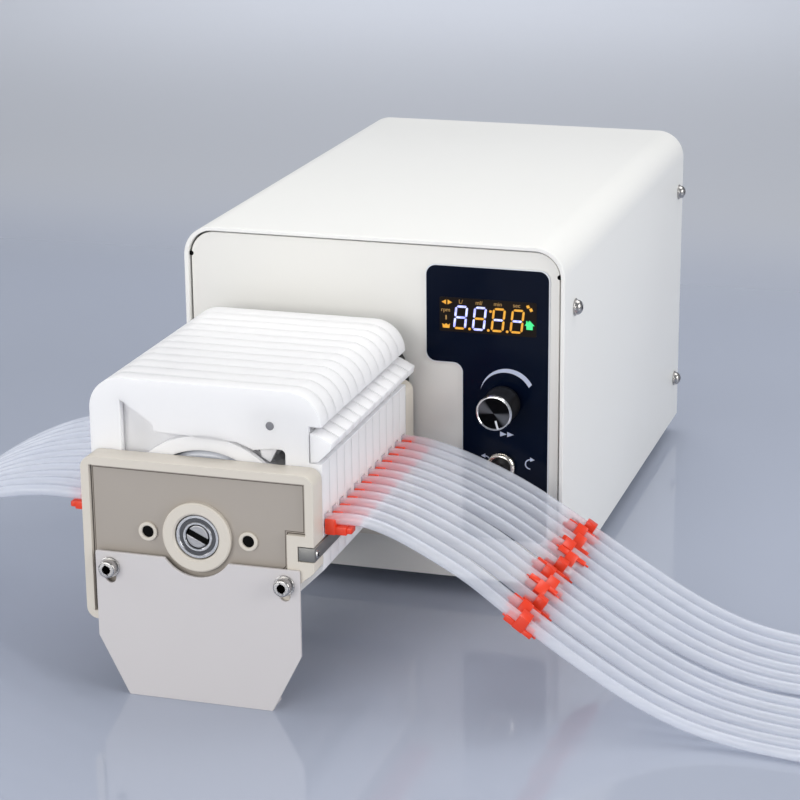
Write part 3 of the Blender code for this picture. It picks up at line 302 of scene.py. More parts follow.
def knob_face_painted_sheen(centre):
    """Black anodised face; its colour holds a painted fan of sheen, light and dark by angle round
    the centre, standing for the light that spun grooves give.
    """
    look = Look("knob_face", Metallic=1.0)
    across = look.axis("X") - centre[0]
    up = look.axis("Z") - centre[1]
    # Painted sheen: the colour goes from black to grey by angle round the knob's centre.
    angle = look.node("ShaderNodeMath", {"operation": "ARCTAN2"}, {0: up, 1: across})
    sheen_wave = look.node("ShaderNodeMath", {"operation": "SINE"}, {0: angle * 2.0 + 2.4})
    sheen_share = look.spread(sheen_wave, 0.35, 1.0)
    look.feed("Base Color", look.blend(sheen_share, paint(14, 14, 16), paint(92, 94, 98)))
    look.feed("Roughness", look.noise(900.0) * 0.1 + 0.26)
    return look.material


CASE = powder_coat("case_white", paint(243, 243, 240), paint(238, 238, 236), 0.42)
PANEL = powder_coat("chassis_white", paint(236, 235, 230), paint(231, 230, 226), 0.40)
SUPPORT = powder_coat("support_white", paint(212, 208, 208), paint(206, 202, 203), 0.46)
BEIGE = moulded("plate_beige", paint(222, 215, 203), paint(215, 208, 197), 0.42)
BEIGE_FLOOR = moulded("plate_floor", paint(174, 166, 157), paint(168, 160, 151), 0.46)
GROOVE = moulded("plate_groove", paint(96, 88, 80), paint(88, 80, 72), 0.6)
ADAPTER = moulded("adapter_black", paint(16, 16, 18), paint(20, 20, 22), 0.34)
WHITE = acetal("cartridge_white", paint(250, 250, 252), paint(246, 246, 250))
LEVER = acetal("lever_white", paint(248, 248, 251), paint(243, 243, 248))
STEEL = metal("rotor_steel", paint(196, 196, 198), 0.30)
RAIL = metal("rail_steel", paint(150, 149, 146), 0.50, (6.0, 0.4, 6.0), 500.0)
ROLLER = metal("roller_steel", paint(208, 208, 210), 0.20, (1.0, 0.2, 1.0))
BEARING = spun_metal("bearing_steel", paint(176, 177, 180), 0.14, (HEAD_X, AXIS_Z), 0.00030)
BEARING_DARK = spun_metal("bearing_shield", paint(84, 85, 88), 0.30, (HEAD_X, AXIS_Z), 0.00040)
SCREW = metal("screw_steel", paint(190, 188, 186), 0.24)
PIN = metal("pin_steel", paint(128, 128, 132), 0.34)
CHROME = metal("switch_chrome", paint(232, 226, 216), 0.14, strength=0.03)
KNOB_RIM = metal("knob_rim", paint(236, 237, 240), 0.16, strength=0.03)
SHAFT_END = spun_metal("shaft_end", paint(160, 160, 162), 0.28, (HEAD_X, AXIS_Z), 0.00018)
KNOB_BLACK = moulded("knob_black", paint(14, 14, 16), paint(18, 18, 20), 0.34)
SWITCH_BLACK = moulded("toggle_black", paint(10, 10, 11), paint(14, 14, 16), 0.36)
INLET = moulded("inlet_black", paint(22, 22, 24), paint(27, 27, 29), 0.45)
ROCKER = moulded("rocker_black", paint(16, 16, 18), paint(20, 20, 22), 0.30)
MOTOR = powder_coat("motor_black", paint(34, 34, 36), paint(28, 28, 30), 0.45)
ENCODER = metal("encoder_steel", paint(168, 168, 172), 0.36)
RUBBER = rubber("foot_rubber", paint(26, 26, 28))
# Painted shade: flat black stands in for the shade inside holes, slots and recesses.
SHADE_BLACK = printed("shadow_black", paint(8, 8, 9), 0.7)
STOP = moulded("stop_red", paint(232, 58, 30), paint(240, 74, 38), 0.34, 900.0)
TUBE = pump_tube("pump_tube", 0.42)
HEAD_TUBE = pump_tube("head_tube", 0.80)
OVERLAY = overlay_film()
PRINT_PALE = printed("print_pale", paint(196, 204, 226))
PRINT_EDGE = printed("print_edge", paint(226, 230, 236))
WINDOW = printed("display_window", paint(22, 15, 12), 0.28)
LIT_BLUE = glowing("lit_blue", (0.62, 0.66, 1.0, 1.0), (0.36, 0.38, 1.0, 1.0), 1.5)
LIT_AMBER = glowing("lit_amber", (0.95, 0.46, 0.02, 1.0), (0.85, 0.36, 0.01, 1.0), 1.0)
LIT_DIM = glowing("lit_dim", (0.75, 0.42, 0.10, 1.0), (0.62, 0.34, 0.08, 1.0), 0.62)
LIT_GREEN = glowing("lit_green", (0.05, 0.95, 0.30, 1.0), (0.02, 0.72, 0.20, 1.0), 1.2)


# ---------------------------------------------------------------- shape helpers
def shade(mesh):
    """Smooth shading, with flats kept flat beside their rounded edges."""
    mesh.shade_smooth()
    mesh.set_sharp_from_angle(angle=radians(32.0))
    for face in mesh.polygons:
        face.use_smooth = face.loop_total <= 4


def as_object(name, shape):
    """Make an object at the origin from a bmesh."""
    mesh = bpy.data.meshes.new(name)
    shape.to_mesh(mesh)
    shape.free()
    thing = bpy.data.objects.new(name, mesh)
    bpy.context.scene.collection.objects.link(thing)
    shade(mesh)
    return thing


def fit(thing, look, body, slot, *nodes):
    """Give a piece its material and its body, and hide the nodes it stands for; slot is not used.
    """
    thing.data.materials.clear()
    thing.data.materials.append(look)
    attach(thing, body)
    if nodes:
        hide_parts(*nodes)
    return thing


def soften(shape, width, segments=2, angle=35.0):
    """Round every edge that turns by more than an angle."""
    sharp = [edge for edge in shape.edges
             if len(edge.link_faces) == 2 and edge.calc_face_angle() > radians(angle)]
    bmesh.ops.bevel(shape, geom=sharp, offset=width, offset_type="OFFSET", affect="EDGES",
                    segments=segments, profile=0.5, material=-1, clamp_overlap=True)


def arc(centre_x, centre_z, radius, start, end, steps):
    """Points on an arc, in degrees, both ends included."""
    points = []
    for index in range(steps + 1):
        angle = radians(start + (end - start) * index / steps)
        points.append((centre_x + radius * cos(angle), centre_z + radius * sin(angle)))
    return points


def rounded_box(left, right, bottom, top, radius, steps=8):
    """Outline of a rectangle with equal round corners."""
    outline = arc(right - radius, top - radius, radius, 0, 90, steps)
    outline += arc(left + radius, top - radius, radius, 90, 180, steps)
    outline += arc(left + radius, bottom + radius, radius, 180, 270, steps)
    outline += arc(right - radius, bottom + radius, radius, 270, 360, steps)
    return outline


def meshed(curve):
    """Turn a curve or lettering into a bmesh, with its doubles merged."""
    source = bpy.data.objects.new("outline", curve)
    bpy.context.scene.collection.objects.link(source)
    bpy.context.view_layer.update()
    evaluated = source.evaluated_get(bpy.context.evaluated_depsgraph_get())
    mesh = bpy.data.meshes.new_from_object(evaluated)
    shape = bmesh.new()
    shape.from_mesh(mesh)
    bmesh.ops.remove_doubles(shape, verts=shape.verts, dist=0.000004)
    bpy.data.objects.remove(source, do_unlink=True)
    bpy.data.meshes.remove(mesh)
    return shape


def flat_mesh(curve, matrix):
    """A filled flat curve or lettering as a bmesh in its place, its coplanar faces merged."""
    shape = meshed(curve)
    bmesh.ops.dissolve_limit(shape, angle_limit=radians(0.5), verts=shape.verts,
                             edges=shape.edges, delimit={"NORMAL"})
    bmesh.ops.transform(shape, matrix=matrix, verts=shape.verts)
    bmesh.ops.recalc_face_normals(shape, faces=shape.faces)
    return shape


def slab(name, outlines, front, back, rounding=0.0, segments=2):
    """Outlines of (x, z) points, filled and carried from front to back along Y."""
    curve = bpy.data.curves.new(name, "CURVE")
    curve.dimensions = "2D"
    curve.fill_mode = "BOTH"
    curve.extrude = (back - front) / 2.0
    for outline in outlines:
        spline = curve.splines.new("POLY")
        spline.points.add(len(outline) - 1)
        for point, (across, up) in zip(spline.points, outline):
            point.co = (across, up, 0.0, 1.0)
        spline.use_cyclic_u = True
    place = Matrix.Translation((0.0, (front + back) / 2.0, 0.0))
    shape = flat_mesh(curve, place @ Matrix.Rotation(pi / 2.0, 4, "X"))
    if rounding > 0.0:
        soften(shape, rounding, segments)
    return as_object(name, shape)


def stand(shape, centre, facing):
    """Turn a shape from the Z axis onto facing and move it to its centre."""
    upright = Vector(facing).to_track_quat("Z", "Y").to_matrix().to_4x4()
    bmesh.ops.transform(shape, matrix=Matrix.Translation(centre) @ upright, verts=shape.verts)


def turned(name, profile, centre, facing, steps):
    """Spin a profile of (radius, height) points about an axis that points along facing."""
    shape = bmesh.new()
    corners = [shape.verts.new((radius, 0.0, height)) for radius, height in profile]
    edges = [shape.edges.new(pair) for pair in zip(corners, corners[1:])]
    bmesh.ops.spin(shape, geom=corners + edges, cent=(0.0, 0.0, 0.0), axis=(0.0, 0.0, 1.0),
                   angle=2.0 * pi, steps=steps, use_merge=True)
    bmesh.ops.remove_doubles(shape, verts=shape.verts, dist=0.000002)
    bmesh.ops.recalc_face_normals(shape, faces=shape.faces)
    stand(shape, centre, facing)
    return as_object(name, shape)


def ring_profile(inner, outer, low, high, chamfer):
    """Closed profile of a ring with small chamfers on its four edges."""
    return [(inner, low + chamfer), (inner + chamfer, low), (outer - chamfer, low),
            (outer, low + chamfer), (outer, high - chamfer), (outer - chamfer, high),
            (inner + chamfer, high), (inner, high - chamfer), (inner, low + chamfer)]


def blocks(name, boxes, rounding, matrix=None):
    """Softened boxes, each given by two corners, in one object."""
    shape = bmesh.new()
    for low, high in boxes:
        made = bmesh.ops.create_cube(shape, size=1.0)["verts"]
        bmesh.ops.scale(shape, vec=[b - a for a, b in zip(low, high)], verts=made)
        bmesh.ops.translate(shape, vec=[(a + b) / 2.0 for a, b in zip(low, high)], verts=made)
    soften(shape, rounding)
    if matrix is not None:
        bmesh.ops.transform(shape, matrix=matrix, verts=shape.verts)
    return as_object(name, shape)


def circle_edges(shape, radius, height, count):
    """A loop of edges at a height."""
    made = bmesh.ops.create_circle(shape, cap_ends=False, radius=radius, segments=count)["verts"]
    bmesh.ops.translate(shape, vec=(0.0, 0.0, height), verts=made)
    return list({edge for corner in made for edge in corner.link_edges})


def socket_screw(name, centre, facing, radius, height, socket, dome):
    """Screw head with a hexagon socket; dome is the share of the radius that is rounded."""
    shape = bmesh.new()
    round_sides, hexagon = 36, 6
    soft = radius * dome
    floor = height - min(height * 0.42, 0.0016)
    loops = [circle_edges(shape, radius, 0.0, round_sides),
             circle_edges(shape, radius, height - soft, round_sides)]
    for degrees in (25, 50, 75, 90):
        turn = radians(degrees)
        loops.append(circle_edges(shape, radius - soft + soft * cos(turn),
                                  height - soft + soft * sin(turn), round_sides))
    loops.append(circle_edges(shape, socket * 1.12, height, round_sides))
    loops.append(circle_edges(shape, socket, height - socket * 0.12, hexagon))
    loops.append(circle_edges(shape, socket, floor, hexagon))
    for first, second in zip(loops, loops[1:]):
        bmesh.ops.bridge_loops(shape, edges=first + second)
    bmesh.ops.holes_fill(shape, edges=loops[0] + loops[-1])
    bmesh.ops.recalc_face_normals(shape, faces=shape.faces)
    stand(shape, centre, facing)
    return as_object(name, shape)


def refined(name, node, width):
    """A copy of a CAD node's shape with its flats merged and its edges rounded."""
    shape = bmesh.new()
    shape.from_mesh(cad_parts[node].data)
    bmesh.ops.remove_doubles(shape, verts=shape.verts, dist=0.000005)
    bmesh.ops.dissolve_limit(shape, angle_limit=radians(1.0), verts=shape.verts,
                             edges=shape.edges, delimit={"NORMAL"})
    soften(shape, width, angle=28.0)
    return as_object(name, shape)


def carve(thing, boxes):
    """Cut boxes out of a piece."""
    cutter = blocks("cutter", boxes, 0.00002)
    modifier = thing.modifiers.new("cut", "BOOLEAN")
    modifier.operation = "DIFFERENCE"
    modifier.object = cutter
    modifier.solver = "EXACT"
    bpy.context.view_layer.update()
    mesh = bpy.data.meshes.new_from_object(
        thing.evaluated_get(bpy.context.evaluated_depsgraph_get()))
    thing.modifiers.clear()
    thing.data = mesh
    shade(mesh)
    bpy.data.objects.remove(cutter, do_unlink=True)


def take_in(thing, other):
    """Make another piece part of this one."""
    both = bmesh.new()
    both.from_mesh(thing.data)
    both.from_mesh(other.data)
    both.to_mesh(thing.data)
    both.free()
    bpy.data.objects.remove(other)
    shade(thing.data)


def repeated(name, source, along):
    """A copy of a piece's shape, moved along Y."""
    shape = bmesh.new()
    shape.from_mesh(source.data)
    bmesh.ops.translate(shape, vec=(0.0, along, 0.0), verts=shape.verts)
    return as_object(name, shape)


def lettering(name, words, left, low, size, y, look, body, slot):
    """Raised print on a face that looks forwards."""
    text = bpy.data.curves.new(name, "FONT")
    text.body = words
    text.size = size
    text.extrude = SURFACE / 2.0
    place = Matrix.Translation((left, y, low)) @ Matrix.Rotation(pi / 2.0, 4, "X")
    return fit(as_object(name, flat_mesh(text, place)), look, body, slot)


# ---------------------------------------------------------------- tubes
# Runs outside the head, listed as (x, z, sideways drift).
RIGHT_FRONT_RUN = (
    (0.0290, 0.0812, 0.0000), (0.0380, 0.0806, 0.0000), (0.0500, 0.0770, 0.0000),
    (0.0660, 0.0694, 0.0000), (0.0810, 0.0609, 0.0000), (0.0965, 0.0498, 0.0000),
    (0.1120, 0.0391, 0.0000), (0.1300, 0.0275, 0.0000), (0.1480, 0.0173, -0.0004),
    (0.1640, 0.0103, -0.0010), (0.1800, 0.0059, -0.0020), (0.1960, 0.0036, -0.0034),
    (0.2120, 0.0028, -0.0052), (0.2280, 0.0027, -0.0072), (0.2440, 0.0027, -0.0092),
)
RIGHT_BACK_RUN = (
    (0.0290, 0.0803, 0.0000), (0.0380, 0.0787, 0.0000), (0.0500, 0.0753, 0.0000),
    (0.0660, 0.0692, 0.0000), (0.0810, 0.0620, 0.0000), (0.0965, 0.0529, 0.0000),
    (0.1120, 0.0434, 0.0000), (0.1300, 0.0324, 0.0000), (0.1480, 0.0217, 0.0000),
    (0.1640, 0.0136, 0.0000), (0.1800, 0.0076, 0.0000), (0.1960, 0.0042, 0.0000),
    (0.2120, 0.0029, 0.0000), (0.2280, 0.0027, 0.0000), (0.2440, 0.0027, 0.0000),
)
LEFT_RUN = (
    (-0.0900, 0.0809, 0.0000), (-0.1010, 0.0812, 0.0000), (-0.1130, 0.0803, 0.0000),
    (-0.1260, 0.0780, 0.0000), (-0.1400, 0.0740, 0.0000), (-0.1550, 0.0675, 0.0000),
    (-0.1700, 0.0590, 0.0000), (-0.1840, 0.0490, 0.0000), (-0.1970, 0.0380, 0.0000),
    (-0.2090, 0.0270, 0.0000), (-0.2210, 0.0170, 0.0000), (-0.2330, 0.0092, 0.0000),
    (-0.2460, 0.0045, 0.0000), (-0.2590, 0.0028, 0.0000), (-0.2740, 0.0027, 0.0000),
)
RIGHT_STRAY = (0.0000, -0.0008, 0.0012, 0.0004, -0.0004, -0.0012,
               0.0014, 0.0006, -0.0002, 0.0012, 0.0006, 0.0000)
RIGHT_END_STRAY = (0.0000, -0.0008, -0.0015, -0.0021, -0.0027, -0.0033,
                   0.0012, 0.0004, -0.0004, -0.0012, 0.0010, 0.0022)
LEFT_STRAY = (0.0000, 0.0012, -0.0008, 0.0008, -0.0012, 0.0004,
              0.0014, -0.0006, 0.0008, -0.0010, 0.0006, 0.0000)
LEFT_END_STRAY = (0.0000, -0.0006, 0.0010, -0.0004, -0.0012, 0.0012,
                  0.0004, 0.0010, -0.0010, 0.0006, -0.0004, 0.0000)
STRAY_PEAK = 0.4              # share of a run at which its first drift gives way to its last
RUN_STEP = 0.0036
OUTER_STOP_AT = 0.0920        # along the tube from the cartridge
STOP_SLIDE = (0.0010, -0.0014, 0.0024, -0.0006, 0.0018, -0.0022,
              0.0006, 0.0024, -0.0016, 0.0012, -0.0008, 0.0016)
STOP_ROLL = (4.0, 62.0, -12.0, 118.0, 20.0, 75.0, -8.0, 140.0, 14.0, -35.0, 58.0, -10.0)
TUBE_WRAP_RADIUS = 0.0303
BORE_DEPTH = 0.0140           # how deep the hole in a free end goes
CURVE_PARTS = 12              # parts that a stretch between two chosen points is cut into


def smooth_run(points, step):
    """Points a step apart on a smooth curve through the given ones."""
    dense = []
    for index in range(len(points) - 1):
        before = points[max(index - 1, 0)]
        start = points[index]
        end = points[index + 1]
        after = points[min(index + 2, len(points) - 1)]
        for part in range(CURVE_PARTS):
            t = part / CURVE_PARTS
            dense.append(0.5 * (2.0 * start + (end - before) * t
                                + (2.0 * before - 5.0 * start + 4.0 * end - after) * t * t
                                + (3.0 * start - before - 3.0 * end + after) * t * t * t))
    dense.append(points[-1])
    total = sum((b - a).length for a, b in zip(dense, dense[1:]))
    count = max(2, round(total / step))
    spaced = [dense[0]]
    walked = 0.0
    for a, b in zip(dense, dense[1:]):
        stretch = (b - a).length
        while len(spaced) < count and walked + stretch >= total * len(spaced) / count - 1e-9:
            ratio = (total * len(spaced) / count - walked) / stretch
            spaced.append(a.lerp(b, ratio))
        walked += stretch
    spaced.append(dense[-1])
    return spaced


def ease(value):
    """A smooth step from 0 to 1."""
    held = min(1.0, max(0.0, value))
    return held * held * (3.0 - 2.0 * held)


def free_run(channel, wall_x, front_points, back_points, stray, end_stray):
    """A tube's route from a cartridge wall to its free end on the table."""
    share = channel / (CHANNELS - 1)
    middle = channel_y(channel)
    route = [Vector((wall_x, middle, AXIS_Z + TUBE_RISE))]
    reach = abs(front_points[-1][0] - wall_x)
    for near, far in zip(front_points, back_points):
        x, z, drift = (a + (b - a) * share for a, b in zip(near, far))
        along = abs(x - wall_x) / reach
        middle_part = ease(along / STRAY_PEAK)
        end_part = ease((along - STRAY_PEAK) / (1.0 - STRAY_PEAK))
        aside = stray[channel] * middle_part * (1.0 - end_part) + end_stray[channel] * end_part
        route.append(Vector((x, middle + drift + aside, z)))
    return smooth_run(route, RUN_STEP)


def sweep(name, route, radius, sides):
    """Round skin along a route, open at both ends."""
    curve = bpy.data.curves.new(name, "CURVE")
    curve.dimensions = "3D"
    curve.bevel_depth = radius
    curve.bevel_resolution = sides // 2 - 2
    spline = curve.splines.new("POLY")
    spline.points.add(len(route) - 1)
    for point, place in zip(spline.points, route):
        point.co = (*place, 1.0)
    return meshed(curve)


def tube_piece(name, route, bored):
    """Tubing along a route; the bored end, the last one, shows the hole in it."""
    shape = sweep(name, route, TUBE_RADIUS, 20)
    rims = [edge for edge in shape.edges if len(edge.link_faces) == 1]
    ends = bmesh.ops.holes_fill(shape, edges=rims)["faces"]
    if bored:
        end = min(ends, key=lambda face: (face.calc_center_median() - route[-1]).length)
        inwards = (route[-4] - route[-1]).normalized()
        bmesh.ops.inset_individual(shape, faces=[end], thickness=TUBE_WALL)
        bored_face = bmesh.ops.extrude_discrete_faces(shape, faces=[end])["faces"][0]
        bmesh.ops.translate(shape, vec=inwards * BORE_DEPTH, verts=bored_face.verts)
    bmesh.ops.recalc_face_normals(shape, faces=shape.faces)
    return as_object(name, shape)


def wall_stop(name, channel, side):
    """Red stop on a cartridge's outer wall: a collar and two low steps outwards."""
    middle = channel_y(channel)
    wall = HEAD_X + side * (HEAD_HALF + 0.0003)

    def step(start, end, half, low, high):
        first, second = sorted((wall + side * start, wall + side * end))
        return ((first, middle - half, AXIS_Z + low), (second, middle + half, AXIS_Z + high))

    return blocks(name, [step(0.0, 0.0045, 0.0034, 0.0018, 0.0084),
                         step(0.0042, 0.0092, 0.0031, 0.0019, 0.0054),
                         step(0.0090, 0.0114, 0.0026, 0.0026, 0.0050)], 0.0004)


def outer_stop(name, route, slide, roll):
    """The further stop: a block round the tube on a narrow base that runs along it."""
    walked = -slide
    for a, b in zip(route, route[1:]):
        stretch = (b - a).length
        if walked + stretch >= OUTER_STOP_AT:
            place = a.lerp(b, (OUTER_STOP_AT - walked) / stretch)
            turn = (b - a).to_track_quat("X", "Z").to_matrix().to_4x4()
            turn = turn @ Matrix.Rotation(radians(roll), 4, "X")
            boxes = [((-0.0025, -0.0034, -0.0035), (0.0025, 0.0034, 0.0033)),
                     ((-0.0070, -0.0032, -0.0034), (-0.0023, 0.0032, -0.0008)),
                     ((0.0023, -0.0032, -0.0034), (0.0066, 0.0032, -0.0014)),
                     ((-0.0084, -0.0010, -0.0032), (0.0084, 0.0010, -0.0023))]
            return blocks(name, boxes, 0.0004, Matrix.Translation(place) @ turn)
        walked += stretch
    raise ValueError(f"{name}: the tube is too short for its stop")


def run_length(route):
    """Length of a route."""
    return sum((b - a).length for a, b in zip(route, route[1:]))


def head_route(channel):
    """From the left wall over the rollers to the right wall."""
    middle = channel_y(channel)
    entry = [(-HEAD_HALF, TUBE_RISE), (-0.0345, TUBE_RISE), (-0.0300, TUBE_RISE + 0.0025)]
    over = arc(0.0, 0.0, TUBE_WRAP_RADIUS, 150, 30, 24)
    leave = [(-x, z) for x, z in entry[::-1]]
    return [Vector((HEAD_X + x, middle, AXIS_Z + z)) for x, z in entry + over + leave]


def make_tubes():
    """Each tube is a middle stretch in the head and two free stretches outside it."""
    for channel in range(CHANNELS):
        number = f"{channel + 1:02d}"
        node = f"tube_{number}"
        sides = {
            "right": (1.0, free_run(channel, HEAD_X + HEAD_HALF, RIGHT_FRONT_RUN, RIGHT_BACK_RUN,
                                    RIGHT_STRAY, RIGHT_END_STRAY)),
            "left": (-1.0, free_run(channel, HEAD_X - HEAD_HALF, LEFT_RUN, LEFT_RUN,
                                    LEFT_STRAY, LEFT_END_STRAY)),
        }
        middle = tube_piece(f"head_tube_{number}", head_route(channel), False)
        fit(middle, HEAD_TUBE, "base", "tube_clear", node)
        for word, (side, route) in sides.items():
            free = fit(tube_piece(f"{word}_tube_{number}", route, True), TUBE, "base",
                       "tube_clear", node)
            stops = [fit(wall_stop(f"{word}_stop_{number}", channel, side), STOP, "base",
                         "tube_clear")]
            if side > 0.0:
                stops.append(fit(outer_stop(f"outer_stop_{number}", route, STOP_SLIDE[channel],
                                            STOP_ROLL[channel]), STOP, "base", "tube_clear"))
            run_length(route)


make_tubes()


# ---------------------------------------------------------------- drive case
CASE_LOW, CASE_HIGH = (Vector(corner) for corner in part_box("top_cover"))
CASE_HALF = (CASE_HIGH.x - CASE_LOW.x) / 2.0
SHEET = 0.0020
CORNER = 0.0140
PANEL_INSET = SHEET + 0.0009
REAR_Y = PANEL_Y + 0.2725
FLOOR_Z = 0.0090


def case_outline(half, top, radius, bottom):
    """Section with round upper corners, from bottom left over the top to bottom right."""
    outline = [(-half, bottom)]
    outline += arc(-half + radius, top - radius, radius, 180, 90, 14)
    outline += arc(half - radius, top - radius, radius, 90, 0, 14)
    outline.append((half, bottom))
    return outline


def make_case():
    """Bent cover, panels, floor, rubber feet and the cover's screws."""
    outer = case_outline(CASE_HALF, CASE_HIGH.z, CORNER, CASE_LOW.z)
    inner = case_outline(CASE_HALF - SHEET, CASE_HIGH.z - SHEET, CORNER - SHEET, CASE_LOW.z)
    cover = slab("cover_shell", [outer + inner[::-1]], CASE_LOW.y, CASE_HIGH.y, 0.00045, 3)
    fit(cover, CASE, "base", "case_white", "top_cover")

    panel = case_outline(CASE_HALF - PANEL_INSET, CASE_HIGH.z - PANEL_INSET,
                         CORNER - PANEL_INSET, FLOOR_Z)
    front = slab("front_panel", [panel], PANEL_Y, PANEL_Y + SHEET, 0.0004)
    fit(front, PANEL, "base", "chassis_white", "chassis")
    inlet_low, inlet_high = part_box("power_inlet")
    hole = rounded_box(inlet_low[0] + 0.0017, inlet_high[0] - 0.0017, inlet_low[2] + 0.0017,
                       inlet_high[2] - 0.0017, 0.0010, 2)
    rear = slab("rear_panel", [panel, hole], REAR_Y - SHEET, REAR_Y, 0.0004)
    fit(rear, PANEL, "base", "chassis_white")
    half = CASE_HALF - SHEET - 0.0003
    tray = [(-half, FLOOR_Z), (half, FLOOR_Z), (half, FLOOR_Z + 0.032),
            (half - 0.0015, FLOOR_Z + 0.032), (half - 0.0015, FLOOR_Z + SHEET),
            (-half + 0.0015, FLOOR_Z + SHEET), (-half + 0.0015, FLOOR_Z + 0.032),
            (-half, FLOOR_Z + 0.032)]
    floor = slab("floor_tray", [tray], PANEL_Y + SHEET, REAR_Y - SHEET, 0.0003)
    fit(floor, PANEL, "base", "chassis_white")

    foot = [(0.0, 0.0002), (0.0032, 0.0002), (0.0036, 0.0018), (0.0046, 0.0018), (0.0052, 0.0),
            (0.0080, 0.0), (0.0086, 0.0006), (0.0092, 0.0086), (0.0088, 0.0090), (0.0, 0.0090)]
    for word, x in (("left", -half + 0.024), ("right", half - 0.024)):
        for place, y in (("front", PANEL_Y + 0.024), ("rear", REAR_Y - 0.024)):
            pad = turned(f"foot_{place}_{word}", foot, (x, y, 0.0), (0.0, 0.0, 1.0), 40)
            fit(pad, RUBBER, "base", "chassis_white")

    for word, side in (("left", -1.0), ("right", 1.0)):
        facing = Vector((side, 0.0, 0.0))
        for place, y, z in (("front_high", PANEL_Y + 0.0176, 0.1375),
                            ("front_low", PANEL_Y + 0.0176, 0.0330),
                            ("rear_high", PANEL_Y + 0.2620, 0.1380),
                            ("rear_low", PANEL_Y + 0.2620, 0.0330)):
            spot = Vector((side * CASE_HALF, y, z))
            ring = turned(f"cover_washer_{place}_{word}", ring_profile(0.0016, 0.0040, 0.0,
                          0.0006, 0.00015), spot, facing, 32)
            fit(ring, SCREW, "base", "case_white")
            head = socket_screw(f"cover_screw_{place}_{word}", spot + facing * 0.0005, facing,
                                0.0035, 0.0030, 0.0015, 0.70)
            fit(head, SCREW, "base", "case_white")
    for word, x in (("left", -CASE_HALF + PANEL_INSET), ("right", CASE_HALF - PANEL_INSET)):
        # Painted shade: a black disc stands for the shade inside each bend relief.
        relief = turned(f"bend_relief_{word}", [(0.0, 0.0), (0.0011, 0.0), (0.0011, 0.0021),
                        (0.0, 0.0021)], (x, PANEL_Y + SHEET, 0.1552), FRONT, 20)
        fit(relief, SHADE_BLACK, "base", "chassis_white")


make_case()


# ---------------------------------------------------------------- control panel
OVERLAY_FACE = ahead(0.0011)
KNOB_CENTRE = (0.0625, 0.0965)
TOGGLE_CENTRE = (0.0615, 0.0660)


def overlay_outline(grow):
    """Wide display block over a narrow knob column."""
    left, right = 0.0260 - grow, 0.0825 + grow
    top, step, column, bottom = 0.1575 + grow, 0.1130 - grow, 0.0430 - grow, 0.0300 - grow
    corner = 0.0045
    outline = arc(right - corner, top - corner, corner, 0, 90, 8)
    outline += arc(left + corner, top - corner, corner, 90, 180, 8)
    outline += arc(left + corner, step + corner, corner, 180, 270, 8)
    outline += arc(column - corner, step - corner, corner, 90, 0, 8)
    outline += arc(column + corner, bottom + corner, corner, 180, 270, 8)
    outline += arc(right - corner, bottom + corner, corner, 270, 360, 8)
    return outline


def mark(name, outline, look, lift=1.0):
    """A thin printed shape on the overlay; its outline is in millimetres."""
    scaled = [(x / 1000.0, z / 1000.0) for x, z in outline]
    front = OVERLAY_FACE - SURFACE * (1.0 + lift)
    fit(slab(name, [scaled], front, OVERLAY_FACE - SURFACE * lift + 0.00002), look,
        "base", "overlay_navy")


def lit(name, outline, look=LIT_AMBER):
    """A lit shape in front of the display's window; its outline is in millimetres."""
    mark(name, outline, look, lift=3.0)


def bar(ax, az, bx, bz, width):
    """Outline of a pointed stroke from a to b."""
    along = Vector((bx - ax, bz - az)).normalized()
    side = Vector((-along.y, along.x)) * width / 2.0
    tip = along * width / 2.0
    a, b = Vector((ax, az)), Vector((bx, bz))
    corners = [a, a + tip - side, b - tip - side, b, b - tip + side, a + tip + side]
    return [(corner.x, corner.y) for corner in corners]


def circle_through(first, middle, last, steps):
    """Points on the arc through three places."""
    a, b, c = Vector(first), Vector(middle), Vector(last)
    ab, ac = b - a, c - a
    cross = 2.0 * (ab.x * ac.y - ab.y * ac.x)
    centre = a + Vector((ac.y * ab.length_squared - ab.y * ac.length_squared,
                         ab.x * ac.length_squared - ac.x * ab.length_squared)) / cross
    start, end = a - centre, c - centre
    sweep_angle = start.angle_signed(end)
    points = []
    for index in range(steps + 1):
        turn = Matrix.Rotation(-sweep_angle * index / steps, 2)
        point = centre + turn @ start
        points.append((point.x, point.y))
    return points


def make_digit(index, left, colours):
    """Seven slanted bars; colours name each bar from the top round to the middle."""
    low, high, wide, width = 129.1, 139.2, 5.0, 1.0
    centre = (low + high) / 2.0
    gap = 0.25
    ends = (
        (gap, high, wide - gap, high), (wide, high - gap, wide, centre + gap),
        (wide, centre - gap, wide, low + gap), (wide - gap, low, gap, low),
        (0.0, low + gap, 0.0, centre - gap), (0.0, centre + gap, 0.0, high - gap),
        (gap, centre, wide - gap, centre),
    )
    for number, ((ax, az, bx, bz), colour) in enumerate(zip(ends, colours)):
        outline = bar(ax, az, bx, bz, width)
        slanted = [(left + x + (z - low) * 0.11, z) for x, z in outline]
        lit(f"digit_{index}_bar_{number + 1}", slanted, LIT_BLUE if colour == "b" else LIT_AMBER)


def disc(x, z, radius):
    """Outline of a round spot or hole."""
    return arc(x, z, radius, 0, 345, 23)


